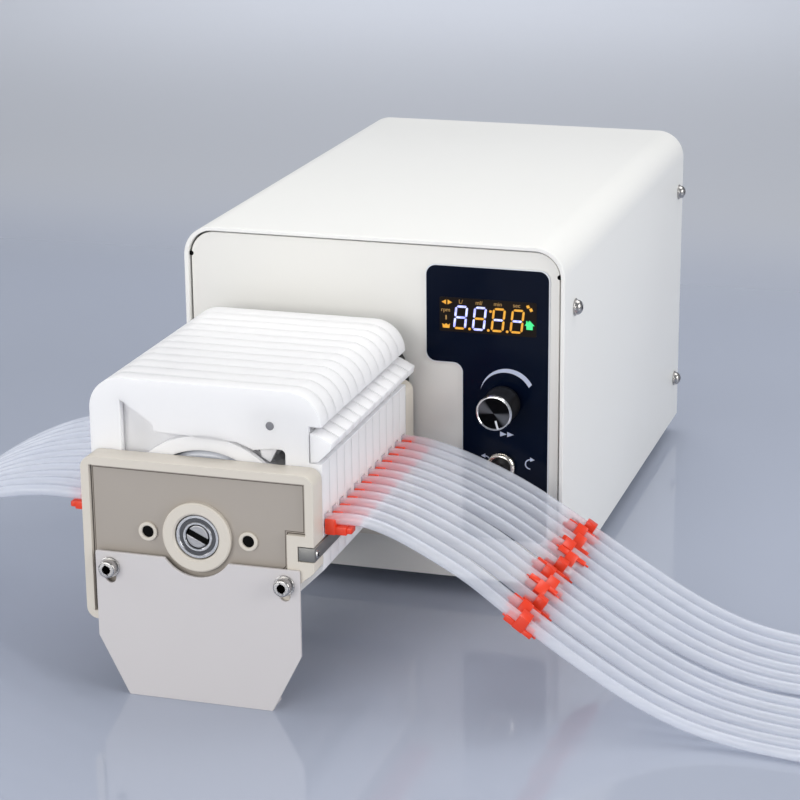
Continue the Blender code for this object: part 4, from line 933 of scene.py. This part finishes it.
def make_overlay():
    """Film with a pale border, the display and the printed marks."""
    edge = slab("overlay_border", [overlay_outline(0.00045)], ahead(0.0009), ahead(0.0001), 0.0002)
    fit(edge, PRINT_EDGE, "base", "overlay_navy")
    film = slab("overlay_face", [overlay_outline(0.0)], OVERLAY_FACE, ahead(0.0005), 0.0001)
    fit(film, OVERLAY, "base", "overlay_navy", "control_overlay")
    mark("display_window", [(x * 1000.0, z * 1000.0) for x, z in
                            rounded_box(0.0322, 0.0770, 0.1273, 0.1432, 0.0006, 3)], WINDOW)
    for index, (left, colours) in enumerate(((39.0, "bbbabbb"), (47.7, "bbbbbba"),
                                             (56.4, "aaaaaab"), (65.1, "aaaaaab"))):
        make_digit(index + 1, left, colours)
    for index, (x, z) in enumerate(((46.2, 129.1), (54.9, 129.1), (63.6, 129.1), (55.9, 137.9))):
        lit(f"display_dot_{index + 1}", disc(x, z, 0.62))
    lit("arrow_left", [(33.2, 140.9), (35.3, 139.8), (35.3, 142.0)])
    lit("arrow_right", [(38.1, 140.9), (36.0, 142.0), (36.0, 139.8)])
    lit("house", [(72.4, 130.7), (75.3, 130.7), (75.3, 132.6), (76.1, 132.6), (73.9, 135.0),
                  (72.9, 134.0), (72.9, 134.7), (72.3, 134.7), (72.3, 133.4), (71.6, 132.6),
                  (72.4, 132.6)], LIT_GREEN)
    lit("basin", [(33.8, 128.9), (36.8, 128.9), (37.1, 130.9), (36.2, 130.3), (35.3, 131.0),
                  (34.4, 130.3), (33.5, 130.9)])
    lit("valve_high", [(72.2, 141.6), (73.4, 142.1), (74.0, 140.9), (72.8, 140.4)])
    lit("valve_low", [(73.6, 140.3), (74.8, 140.8), (75.4, 139.4), (74.2, 138.9)])
    lit("step_mark", bar(35.3, 132.6, 35.3, 134.9, 0.6), LIT_DIM)
    face = OVERLAY_FACE - SURFACE * 3.5
    for words, left, low in (("L/", 41.1, 140.6), ("ml/", 48.9, 140.6), ("min", 57.3, 140.6),
                             ("sec", 66.2, 140.6), ("rpm", 32.9, 136.5)):
        name = "unit_" + words.strip("/")
        lettering(name, words, left / 1000.0, low / 1000.0, 0.0026, face, LIT_DIM, "base",
                  "overlay_navy")

    upper = circle_through((51.4, 101.4), (61.7, 111.6), (75.1, 105.2), 28)
    lower = circle_through((73.7, 103.7), (60.9, 109.8), (51.4, 101.4), 28)
    mark("speed_arc", upper + lower[:-1], PRINT_PALE)
    for index, left in enumerate((60.5, 63.8)):
        mark(f"forward_{index + 1}", [(left, 79.7), (left + 3.1, 80.9), (left, 82.1)], PRINT_PALE)
    for name, x, side in (("turn_right", 74.6, 1.0), ("turn_left", 53.6, -1.0)):
        outer = arc(0.0, 67.6, 2.45, 270, 90, 18)
        inner = arc(0.0, 67.6, 1.95, 90, 270, 18)
        outline = [(x + side * px, pz) for px, pz in outer + inner]
        head = [(x, 68.9), (x + side * 2.0, 69.8), (x, 70.9)]
        if side < 0.0:
            outline = outline[::-1]
            head = head[::-1]
        mark(name, outline, PRINT_PALE)
        mark(name + "_head", head, PRINT_PALE)


def make_knob():
    """Black knob with a bright turned rim, a spun face with painted sheen and a white line."""
    x, z = KNOB_CENTRE
    low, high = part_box("speed_knob")
    base = (x, high[1], z)
    tall = high[1] - low[1]
    skirt = turned("knob_body", [
        (0.0032, 0.0), (0.0078, 0.0), (0.0082, 0.0004), (0.0082, 0.0030), (0.0080, 0.0034),
        (0.0080, tall - 0.0012), (0.0076, tall - 0.0009), (0.0030, tall - 0.0009),
        (0.0030, tall - 0.0040), (0.0032, 0.0)], base, FRONT, 64)
    fit(skirt, KNOB_BLACK, "knob", "knob_black", "speed_knob")
    rim = turned("knob_rim", [
        (0.0074, tall - 0.0010), (0.0081, tall - 0.0014), (0.0082, tall - 0.0010),
        (0.0078, tall - 0.0001), (0.0074, tall), (0.0071, tall - 0.0004),
        (0.0074, tall - 0.0010)], base, FRONT, 64)
    fit(rim, KNOB_RIM, "knob", "knob_black")
    face = turned("knob_cap", [(0.0, tall - 0.0003), (0.0070, tall - 0.0004),
                  (0.0072, tall - 0.0006), (0.0072, tall - 0.0012), (0.0, tall - 0.0012)],
                  base, FRONT, 64)
    fit(face, knob_face_painted_sheen(KNOB_CENTRE), "knob", "knob_black")
    pointer = blocks("knob_pointer", [((-0.0004, -tall - 0.00005, -0.0074),
                     (0.0004, -tall + 0.0008, -0.0034))], 0.0001,
                     Matrix.Translation(base) @ Matrix.Rotation(radians(-16.0), 4, "Y"))
    fit(pointer, PRINT_EDGE, "knob", "knob_black")


def make_toggle():
    """Knurled ring nut round a black boot, and the boot's short lever."""
    x, z = TOGGLE_CENTRE
    low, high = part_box("toggle_switch")
    front_y = low[1]
    tall = 0.0035
    base = (x, front_y + tall, z)
    nut = turned("toggle_nut", [
        (0.0044, 0.0), (0.0062, 0.0), (0.0062, tall - 0.0008), (0.0058, tall - 0.0003),
        (0.0054, tall - 0.0001), (0.0050, tall), (0.0046, tall - 0.0006),
        (0.0043, tall - 0.0016), (0.0044, 0.0)], base, FRONT, 60)
    fit(nut, CHROME, "base", "switch_chrome", "toggle_switch")
    teeth = bmesh.new()
    count = 44
    for index in range(count):
        made = bmesh.ops.create_cube(teeth, size=1.0)["verts"]
        bmesh.ops.scale(teeth, vec=(0.0005, tall - 0.0012, 0.0005), verts=made)
        diamond = Matrix.Rotation(radians(45.0), 4, "Y")
        round_it = Matrix.Rotation(2.0 * pi * index / count, 4, "Y")
        place = (Matrix.Translation((x, front_y + tall / 2.0 + 0.0004, z)) @ round_it
                 @ Matrix.Translation((0.0062, 0.0, 0.0)) @ diamond)
        bmesh.ops.transform(teeth, matrix=place, verts=made)
    fit(as_object("toggle_knurl", teeth), CHROME, "base", "switch_chrome")
    boot = turned("toggle_boot", [(0.0, 0.0006), (0.0018, 0.0007), (0.0030, 0.0001),
                  (0.0042, -0.0006), (0.0043, -0.0030), (0.0, -0.0030)],
                  (x, front_y + 0.0012, z), FRONT, 40)
    fit(boot, SWITCH_BLACK, "base", "switch_chrome")
    body_low = (x - 0.0075, PANEL_Y + 0.005, z - 0.0062)
    body = blocks("toggle_body", [(body_low, (x + 0.0075, high[1], z + 0.0062))], 0.0005)
    fit(body, SWITCH_BLACK, "base", "switch_chrome")
    tip_low, tip_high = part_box("toggle_lever")
    reach = tip_high[1] - tip_low[1]
    lever = turned("toggle_stick", [
        (0.0, 0.0), (0.0020, 0.0006), (0.0022, 0.0023), (0.0014, 0.0042), (0.0013, 0.0060),
        (0.0016, reach - 0.0020), (0.0014, reach - 0.0006), (0.0008, reach), (0.0, reach)],
        (x, tip_high[1], z), FRONT, 28)
    fit(lever, SWITCH_BLACK, "toggle", "toggle_black", "toggle_lever")


make_overlay()
make_knob()
make_toggle()


# ---------------------------------------------------------------- pump head frame
PLATE_LOW, PLATE_HIGH = (Vector(corner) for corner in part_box("head_front_plate"))
PLATE_LEFT, PLATE_RIGHT = HEAD_X - HEAD_HALF, HEAD_X + HEAD_HALF
PLATE_FACE = ahead(0.1434)
PLATE_CORNER = 0.0050
PLATE_BORDER = 0.0036         # width of the rim round the front plate's sunk field
RECESS = 0.0018
RAIL_WIDE = 0.0072
RAIL_GAP = 0.0003             # room between a rail and its notch
NOTCH_LOW, NOTCH_HIGH = RAIL_TOP - RAIL_TALL - RAIL_GAP, RAIL_TOP + RAIL_GAP
BEARING_SEAT = 0.0100         # radius of the hole that the bearing boss closes
FOOT_SCREW_OFFSET = 0.0385


def rail_limits(side):
    """Inner and outer x of a rail, smaller first."""
    outer = HEAD_HALF + RAIL_PROUD
    return sorted((HEAD_X + side * (outer - RAIL_WIDE), HEAD_X + side * outer))


def plate_top():
    """The two round upper corners of an end plate, from right to left."""
    level = PLATE_HIGH.z - PLATE_CORNER
    return (arc(PLATE_RIGHT - PLATE_CORNER, level, PLATE_CORNER, 0, 90, 10)
            + arc(PLATE_LEFT + PLATE_CORNER, level, PLATE_CORNER, 90, 180, 10))


def plate_foot(right):
    """The two round lower corners of an end plate, from left to right."""
    level = PLATE_LOW.z + PLATE_CORNER
    return (arc(PLATE_LEFT + PLATE_CORNER, level, PLATE_CORNER, 180, 270, 10)
            + arc(right - PLATE_CORNER, level, PLATE_CORNER, 270, 360, 10))


def front_plate_outline():
    """Front end plate: one notch, for the right rail, and a cut-away lower right corner."""
    narrow = HEAD_X + 0.0400
    rail_floor = rail_limits(1.0)[0] - RAIL_GAP
    return [(PLATE_RIGHT, NOTCH_HIGH), *plate_top(), *plate_foot(narrow), (narrow, 0.0534),
            (PLATE_RIGHT - 0.0006, 0.0620), (PLATE_RIGHT, 0.0628), (PLATE_RIGHT, NOTCH_LOW),
            (rail_floor, NOTCH_LOW), (rail_floor, NOTCH_HIGH)]


def rear_plate_outline():
    """Rear end plate with round corners and a notch at each side for a rail."""
    right_floor = rail_limits(1.0)[0] - RAIL_GAP
    left_floor = rail_limits(-1.0)[1] + RAIL_GAP
    return [(PLATE_RIGHT, NOTCH_HIGH), *plate_top(), (PLATE_LEFT, NOTCH_HIGH),
            (left_floor, NOTCH_HIGH), (left_floor, NOTCH_LOW), (PLATE_LEFT, NOTCH_LOW),
            *plate_foot(PLATE_RIGHT), (PLATE_RIGHT, NOTCH_LOW), (right_floor, NOTCH_LOW),
            (right_floor, NOTCH_HIGH)]


def recess_outline(grow):
    """The sunk field of the front plate, with its cut-out corner."""
    left, right = PLATE_LEFT + PLATE_BORDER - grow, PLATE_RIGHT - PLATE_BORDER + grow
    low, high = PLATE_LOW.z + PLATE_BORDER - grow, PLATE_HIGH.z - PLATE_BORDER + grow
    step_x, step_z = PLATE_RIGHT - 0.0116 + grow, RAIL_TOP + 0.0048 - grow
    return [(left, low), (step_x - 0.0035, low), (step_x - 0.0035, step_z - 0.0190),
            (step_x, step_z - 0.0155), (step_x, step_z), (right, step_z), (right, high),
            (left, high)]


def make_plates():
    """Rear plate, the front plate's frame and floor, its bosses, and the adapter."""
    rear_low, rear_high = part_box("head_rear_plate")
    rear = slab("rear_plate_block", [rear_plate_outline()], rear_low[1], rear_high[1], 0.0005, 3)
    fit(rear, BEIGE, "base", "plate_beige", "head_rear_plate")
    rim = slab("front_plate_frame", [front_plate_outline(), recess_outline(0.0)], PLATE_FACE,
               PLATE_HIGH.y, 0.0005, 3)
    fit(rim, BEIGE, "base", "plate_beige", "head_front_plate")
    seat = disc(HEAD_X, AXIS_Z, BEARING_SEAT)
    floor = slab("front_plate_floor", [recess_outline(-0.0006), seat],
                 PLATE_FACE + RECESS, PLATE_HIGH.y - 0.0002, 0.0002)
    fit(floor, BEIGE_FLOOR, "base", "plate_beige")
    groove = slab("front_plate_groove", [recess_outline(0.0001), seat],
                  PLATE_FACE + RECESS + 0.0004, PLATE_HIGH.y - 0.0004)
    fit(groove, GROOVE, "base", "plate_beige")
    line = slab("front_plate_line", [recess_outline(-0.0010), recess_outline(-0.0013)],
                PLATE_FACE + RECESS - SURFACE, PLATE_FACE + RECESS + 0.0002)
    fit(line, GROOVE, "base", "plate_beige")
    boss = turned("bearing_boss", [
        (0.0098, -0.0012), (0.0148, -0.0012), (0.0150, RECESS + 0.0003),
        (0.0144, RECESS + 0.0008), (0.0106, RECESS + 0.0008), (0.0101, RECESS + 0.0004),
        (0.0098, RECESS), (0.0098, -0.0012)], (HEAD_X, PLATE_FACE + RECESS, AXIS_Z), FRONT, 96)
    fit(boss, BEIGE, "base", "plate_beige")
    for word, side in (("left", -1.0), ("right", 1.0)):
        spot = (HEAD_X + side * 0.0221, PLATE_FACE + RECESS, AXIS_Z)
        port = turned(f"port_boss_{word}", [
            (0.0026, -0.0006), (0.0040, -0.0006), (0.0041, 0.0009), (0.0037, 0.0012),
            (0.0030, 0.0012), (0.0026, 0.0008), (0.0026, -0.0006)], spot, FRONT, 48)
        fit(port, BEIGE, "base", "plate_beige")
        # Painted shade: a black disc stands for the shade down each port's bore.
        hole = turned(f"port_hole_{word}", [(0.0, 0.0001), (0.0026, 0.0001), (0.0026, -0.0004),
                      (0.0, -0.0004)], spot, FRONT, 32)
        fit(hole, SHADE_BLACK, "base", "plate_beige")
    low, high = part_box("adapter_plate")
    outline = rounded_box(low[0], high[0], low[2], high[2], 0.0200, 14)
    adapter = slab("adapter_block", [outline], low[1], high[1], 0.0005, 3)
    fit(adapter, ADAPTER, "base", "adapter_black", "adapter_plate")


def make_bearing():
    """Outer ring, shield and inner ring of the front ball bearing."""
    low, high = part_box("front_bearing")
    wide = high[1] - low[1]
    seat = (HEAD_X, high[1], AXIS_Z)
    outer = turned("bearing_outer_ring", ring_profile(0.0079, 0.0095, 0.0, wide, 0.0003), seat,
                   FRONT, 80)
    fit(outer, BEARING, "base", "bearing_steel", "front_bearing")
    shield = turned("bearing_shield", ring_profile(0.0064, 0.0080, 0.0004, wide - 0.0004, 0.0002),
                    seat, FRONT, 80)
    fit(shield, BEARING_DARK, "base", "bearing_steel")
    inner = turned("bearing_inner_ring", ring_profile(0.0052, 0.0065, 0.0, wide, 0.0003), seat,
                   FRONT, 80)
    fit(inner, BEARING, "base", "bearing_steel")


def make_rails():
    """Ground steel rails, each with two cross-head screws in its outer side."""
    for name, side in (("left_rail", -1.0), ("right_rail", 1.0)):
        fit(refined(name + "_bar", name, 0.0003), RAIL, "base", "rail_steel", name)
        facing = Vector((side, 0.0, 0.0))
        for word, y in (("front", ahead(0.1408 if side > 0.0 else 0.1290)),
                        ("rear", ahead(0.0078))):
            spot = Vector((HEAD_X + side * (HEAD_HALF + RAIL_PROUD), y, RAIL_TOP - 0.0031))
            head = turned(f"{name}_{word}_screw", [(0.0, 0.0006), (0.0008, 0.0006),
                          (0.0014, 0.0005), (0.0018, 0.0001), (0.0018, -0.0003),
                          (0.0, -0.0003)], spot, facing, 28)
            fit(head, SCREW, "base", "rail_steel")
            # Painted shade: the cross recess is a black cross, for the shade in it.
            cross = blocks(f"{name}_{word}_cross", [
                ((-0.0001, -0.0010, -0.0002), (0.0002, 0.0010, 0.0002)),
                ((-0.0001, -0.0002, -0.0010), (0.0002, 0.0002, 0.0010))], 0.00003,
                Matrix.Translation(spot + facing * 0.0005) @ Matrix.Rotation(0.6, 4, "X"))
            fit(cross, SHADE_BLACK, "base", "rail_steel")


def make_support():
    """Painted foot with its two screws, each on a washer over a slot."""
    low = Vector(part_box("support_foot")[0])
    half, foot_half, corner = 0.0450, 0.0320, 0.0006
    shoulder, top = 0.0257, 0.0634
    relief = 0.0170
    relief_end = sqrt(relief ** 2 - (AXIS_Z - top) ** 2)
    outline = [(HEAD_X - foot_half, 0.0), (HEAD_X + foot_half, 0.0), (HEAD_X + half, shoulder)]
    outline += arc(HEAD_X + half - corner, top - corner, corner, 0, 90, 3)
    outline += [(HEAD_X + relief_end, top)]
    outline += arc(HEAD_X, AXIS_Z, relief, -36, -144, 20)
    outline += [(HEAD_X - relief_end, top)]
    outline += arc(HEAD_X - half + corner, top - corner, corner, 90, 180, 3)
    outline += [(HEAD_X - half, shoulder)]
    slots = []
    for side in (-1.0, 1.0):
        x = HEAD_X + side * FOOT_SCREW_OFFSET
        slots.append(arc(x, 0.0570, 0.0024, 0, 180, 10) + arc(x, 0.0520, 0.0024, 180, 360, 10))
    plate = slab("foot_plate", [outline, *slots], low.y, low.y + 0.0015, 0.0002)
    fit(plate, SUPPORT, "base", "support_white", "support_foot")
    base = blocks("foot_base", [((HEAD_X - 0.0316, low.y + 0.0006, 0.0),
                                 (HEAD_X + 0.0316, low.y + 0.0120, 0.0015))], 0.0004)
    fit(base, SUPPORT, "base", "support_white")
    for word, side in (("left", -1.0), ("right", 1.0)):
        spot = Vector((HEAD_X + side * FOOT_SCREW_OFFSET, low.y, 0.0568))
        washer = turned(f"foot_washer_{word}", ring_profile(0.0022, 0.0044, 0.0, 0.0008, 0.0002),
                        spot, FRONT, 48)
        fit(washer, SCREW, "base", "support_white")
        head = socket_screw(f"foot_screw_{word}", spot + FRONT * 0.0008, FRONT, 0.0037, 0.0036,
                            0.0017, 0.20)
        fit(head, SCREW, "base", "support_white")


make_plates()
make_bearing()
make_rails()
make_support()


# ---------------------------------------------------------------- rotor, cartridges and levers
ROLLERS = 6
SHAFT_RADIUS = 0.0047
ROLLER_RADIUS = 0.0060
AXLE_RADIUS = 0.0020          # also how far an axle stands out of its roller's ends
CARRIER_RADIUS = 0.0263
CARRIER_THICK = 0.0020
SLOT_ANGLE = 25.0             # how the slot in the shaft's end lies at rest, in degrees
LEG_CUT = 0.0105              # cut corner at the foot of each cartridge leg
WEB_THICK = 0.0012            # wall in a cartridge's window


def make_rotor():
    """Shaft with a slotted end, two carrier discs and six rollers."""
    low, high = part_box("rotor")
    length = high[1] - low[1]
    end = (HEAD_X, high[1], AXIS_Z)
    shaft = turned("rotor_shaft", [
        (0.0, 0.0), (SHAFT_RADIUS - 0.0002, 0.0), (SHAFT_RADIUS, 0.0002),
        (SHAFT_RADIUS, length - 0.0030), (SHAFT_RADIUS - 0.0004, length - 0.0026),
        (0.0, length - 0.0026)], end, FRONT, 64)
    fit(shaft, STEEL, "rotor", "rotor_steel", "rotor")
    tip_y = low[1]
    for index, side in enumerate((-1.0, 1.0)):
        half = arc(0.0, 0.0, SHAFT_RADIUS + 0.0001, 16, 164, 24)
        turn = radians(SLOT_ANGLE if side > 0.0 else SLOT_ANGLE + 180.0)
        outline = [(HEAD_X + x * cos(turn) + z * sin(turn), AXIS_Z - x * sin(turn) + z * cos(turn))
                   for x, z in half]
        cheek = slab(f"shaft_cheek_{index + 1}", [outline[::-1]], tip_y, tip_y + 0.0030, 0.0002)
        fit(cheek, SHAFT_END, "rotor", "rotor_steel")
    # Painted shade: the floor of the slot is black, for the shade in it.
    slot = turned("shaft_slot_floor", [(0.0, 0.0), (0.0046, 0.0), (0.0046, -0.0005),
                  (0.0, -0.0005)], (HEAD_X, tip_y + 0.0014, AXIS_Z), FRONT, 40)
    fit(slot, SHADE_BLACK, "rotor", "rotor_steel")
    for index in range(ROLLERS):
        node = f"roller_{index + 1}"
        body = node + "_body"
        near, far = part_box(node)
        centre = ((near[0] + far[0]) / 2.0, far[1], (near[2] + far[2]) / 2.0)
        tall = far[1] - near[1]
        soft = 0.0004
        start, stop = AXLE_RADIUS, tall - AXLE_RADIUS
        profile = [(0.0, 0.0), (AXLE_RADIUS, 0.0), (AXLE_RADIUS, start),
                   (ROLLER_RADIUS - soft, start), (ROLLER_RADIUS, start + soft),
                   (ROLLER_RADIUS, stop - soft), (ROLLER_RADIUS - soft, stop),
                   (AXLE_RADIUS, stop), (AXLE_RADIUS, tall), (0.0, tall)]
        fit(turned(f"{node}_barrel", profile, centre, FRONT, 40), ROLLER, body, "roller_steel",
            node)
    for word, y in (("front", low[1] + 0.0109), ("rear", ahead(0.0156))):
        disc_profile = ring_profile(SHAFT_RADIUS, CARRIER_RADIUS, 0.0, CARRIER_THICK, 0.0003)
        carrier = turned(f"carrier_{word}", disc_profile, (HEAD_X, y + CARRIER_THICK, AXIS_Z),
                         FRONT, 72)
        fit(carrier, STEEL, "rotor", "rotor_steel")


def cartridge_outline():
    """Arch with two hooked legs, a hanging block and the curved pressing bed, from the axis."""
    rail_top, rail_low, rail_in = 0.0005, -0.0064, HEAD_HALF - 0.0070
    half, foot, inner = HEAD_HALF, -0.0240, HEAD_HALF - 0.0136
    bed_in, bed_out, rise, shoulder = 0.0338, 0.0398, 0.0620, 0.0140
    outline = [(-half, rail_low), (-half, foot + LEG_CUT), (-half + LEG_CUT, foot),
               (-inner, foot), (-inner, bed_in * sin(radians(151.0)))]
    outline += arc(0.0, 0.0, bed_in, 151.0, 38.0, 30)
    outline += arc(0.0, 0.0, bed_out, 38.0, 140.2, 28)
    outline += [(-inner, bed_out * sin(radians(140.2))), (-inner, 0.0528), (-0.0225, 0.0432),
                (-0.0226, 0.0402), (0.0139, 0.0387), (0.0214, 0.0360), (0.0290, 0.0371)]
    outline += arc(0.0332, 0.0351, 0.0020, 90, 0, 5)
    outline += [(0.0352, foot), (half - LEG_CUT, foot), (half, foot + LEG_CUT), (half, rail_low),
                (rail_in, rail_low), (rail_in, rail_top), (half, rail_top),
                (half, 0.0323), (0.0454, 0.0323), (0.0454, 0.0480)]
    outline += arc(half - shoulder, rise - shoulder, shoulder, 0, 90, 14)
    outline += arc(-half + shoulder, rise - shoulder, shoulder, 90, 180, 14)
    outline += [(-half, rail_top), (-rail_in, rail_top), (-rail_in, rail_low)]
    return [(HEAD_X + x, AXIS_Z + z) for x, z in outline]


def window_web_outline():
    """Thin wall that closes the window between the left leg, the block and the pressing bed."""
    leg, bed, leg_angle = -HEAD_HALF + 0.0131, 0.0393, 140.5
    outline = [(leg, 0.0533), (-0.0220, 0.0440), (-0.0220, 0.0406), (0.0020, 0.0397)]
    outline += arc(0.0, 0.0, bed, 88.0, leg_angle, 24)
    outline.append((leg, bed * sin(radians(leg_angle))))
    return [(HEAD_X + x, AXIS_Z + z) for x, z in outline]


def make_cartridge_shell():
    """The front cartridge, with slots for the tube, a pocket for the lever and a closed window."""
    low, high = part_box("cartridge_01")
    middle = (low[1] + high[1]) / 2.0
    shell = slab("cartridge_01_shell", [cartridge_outline()], low[1], high[1], 0.0011, 3)
    tube_z, reach = AXIS_Z + TUBE_RISE, TUBE_RADIUS + 0.0003
    carve(shell, [
        ((HEAD_X - HEAD_HALF - 0.01, middle - reach, tube_z - reach),
         (HEAD_X + HEAD_HALF + 0.01, middle + reach, tube_z + reach)),
        ((HEAD_X + 0.0200, middle - 0.0020, AXIS_Z + 0.0300),
         (HEAD_X + 0.0464, middle + 0.0020, AXIS_Z + 0.0530))])
    take_in(shell, slab("cartridge_web", [window_web_outline()], middle - WEB_THICK / 2.0,
                        middle + WEB_THICK / 2.0))
    return shell


def make_cartridges():
    """Twelve cartridges and their thumb levers on steel pins."""
    shell = make_cartridge_shell()
    for channel in range(CHANNELS):
        number = f"{channel + 1:02d}"
        cartridge = f"cartridge_{number}"
        if channel:
            copy = repeated(cartridge + "_shell", shell, channel_y(channel) - channel_y(0))
        else:
            copy = shell
        fit(copy, WHITE, "base", "cartridge_white", cartridge)
        lever = f"lever_{number}"
        fit(refined(lever + "_arm", lever, 0.0005), LEVER, lever + "_body", "lever_white",
            lever)
        pin = turned(f"lever_pin_{number}", [(0.0, 0.0), (0.0018, 0.0), (0.0021, 0.0003),
                     (0.0021, 0.0088), (0.0018, 0.0091), (0.0, 0.0092)],
                     (HEAD_X + 0.0288, channel_y(channel) + 0.0044, AXIS_Z + 0.0469), FRONT, 24)
        fit(pin, PIN, lever + "_body", "lever_white")


make_rotor()
make_cartridges()


# ---------------------------------------------------------------- rear and inside pieces
def make_inside():
    """Mains inlet, rocker, motor and encoder keep their CAD shapes with softened edges."""
    fit(refined("inlet_frame", "power_inlet", 0.0003), INLET, "base", "inlet_black", "power_inlet")
    fit(refined("rocker_paddle", "power_switch", 0.0003), ROCKER, "rocker", "rocker_black",
        "power_switch")
    fit(refined("motor_block", "stepper_motor", 0.0005), MOTOR, "base", "motor_black",
        "stepper_motor")
    fit(refined("encoder_body", "encoder_shaft", 0.0002), ENCODER, "encoder", "encoder_steel",
        "encoder_shaft")


make_inside()


# ---------------------------------------------------------------- stage and light
def make_stage():
    """Pale table, glossy near the pump and dull further back, that sweeps up behind."""
    near_edge, bend_start, bend, top, half_width = -3.0, 2.20, 0.50, 3.0, 4.0
    shape = bmesh.new()
    profile = [(near_edge, 0.0), (bend_start, 0.0)]
    profile += [(bend_start + bend * sin(radians(turn)), bend - bend * cos(radians(turn)))
                for turn in range(6, 91, 6)]
    profile.append((bend_start + bend, top))
    corners = [shape.verts.new((-half_width, y, z)) for y, z in profile]
    edges = [shape.edges.new(pair) for pair in zip(corners, corners[1:])]
    made = bmesh.ops.extrude_edge_only(shape, edges=edges)["geom"]
    moved = [part for part in made if isinstance(part, bmesh.types.BMVert)]
    bmesh.ops.translate(shape, vec=(2.0 * half_width, 0.0, 0.0), verts=moved)
    bmesh.ops.recalc_face_normals(shape, faces=shape.faces)
    sheet = as_object("table_sweep", shape)
    look = Look("table_grey", Specular_IOR_Level=0.5)
    table = look.blend(look.noise(1.6), paint(168, 175, 192), paint(174, 181, 197))
    far = look.spread(look.axis("Y"), 0.40, 0.80)
    look.feed("Base Color", look.blend(far, table, paint(178, 182, 191)))
    look.feed("Roughness", look.noise(3.0) * 0.05 + far * 0.85 + 0.05)
    sheet.data.materials.append(look.material)


def softbox(name, place, aim, width, height, power, colour=(1.0, 1.0, 1.0), beam=180.0):
    """A large even light; beam is the angle that it spreads over."""
    data = bpy.data.lights.new(name, "AREA")
    data.shape = "RECTANGLE"
    data.size = width
    data.size_y = height
    data.energy = power
    data.color = colour
    data.spread = radians(beam)
    lamp = bpy.data.objects.new(name, data)
    lamp.location = place
    lamp.rotation_euler = (Vector(aim) - Vector(place)).to_track_quat("-Z", "Y").to_euler()
    bpy.context.scene.collection.objects.link(lamp)


def make_light():
    """Overhead box a little behind, broad fills in front and at the right, a weak left one,
    and a narrow wash on the table far behind."""
    warm = (1.0, 0.985, 0.965)
    softbox("overhead", (0.15, 0.50, 1.40), (0.0, 0.05, 0.10), 1.5, 1.0, 12.8, warm)
    softbox("front_fill", (-0.60, -2.20, 0.70), (0.0, -0.05, 0.09), 1.8, 1.2, 27.0, warm)
    softbox("right_fill", (2.10, -0.60, 0.90), (0.0, 0.0, 0.10), 1.4, 1.2, 26.0, warm)
    softbox("left_fill", (-1.60, -0.30, 0.80), (0.0, 0.0, 0.10), 1.0, 1.0, 7.0)
    softbox("backdrop_wash", (-0.55, 1.90, 1.50), (-0.55, 1.95, 0.0), 1.3, 0.8, 6.0, beam=80.0)
    world = bpy.data.worlds.new("studio")
    world.use_nodes = True
    sky = world.node_tree.nodes["Background"]
    sky.inputs["Color"].default_value = (0.76, 0.79, 0.83, 1.0)
    sky.inputs["Strength"].default_value = 0.38
    bpy.context.scene.world = world
    bpy.context.scene.view_settings.view_transform = "Standard"


make_stage()
make_light()
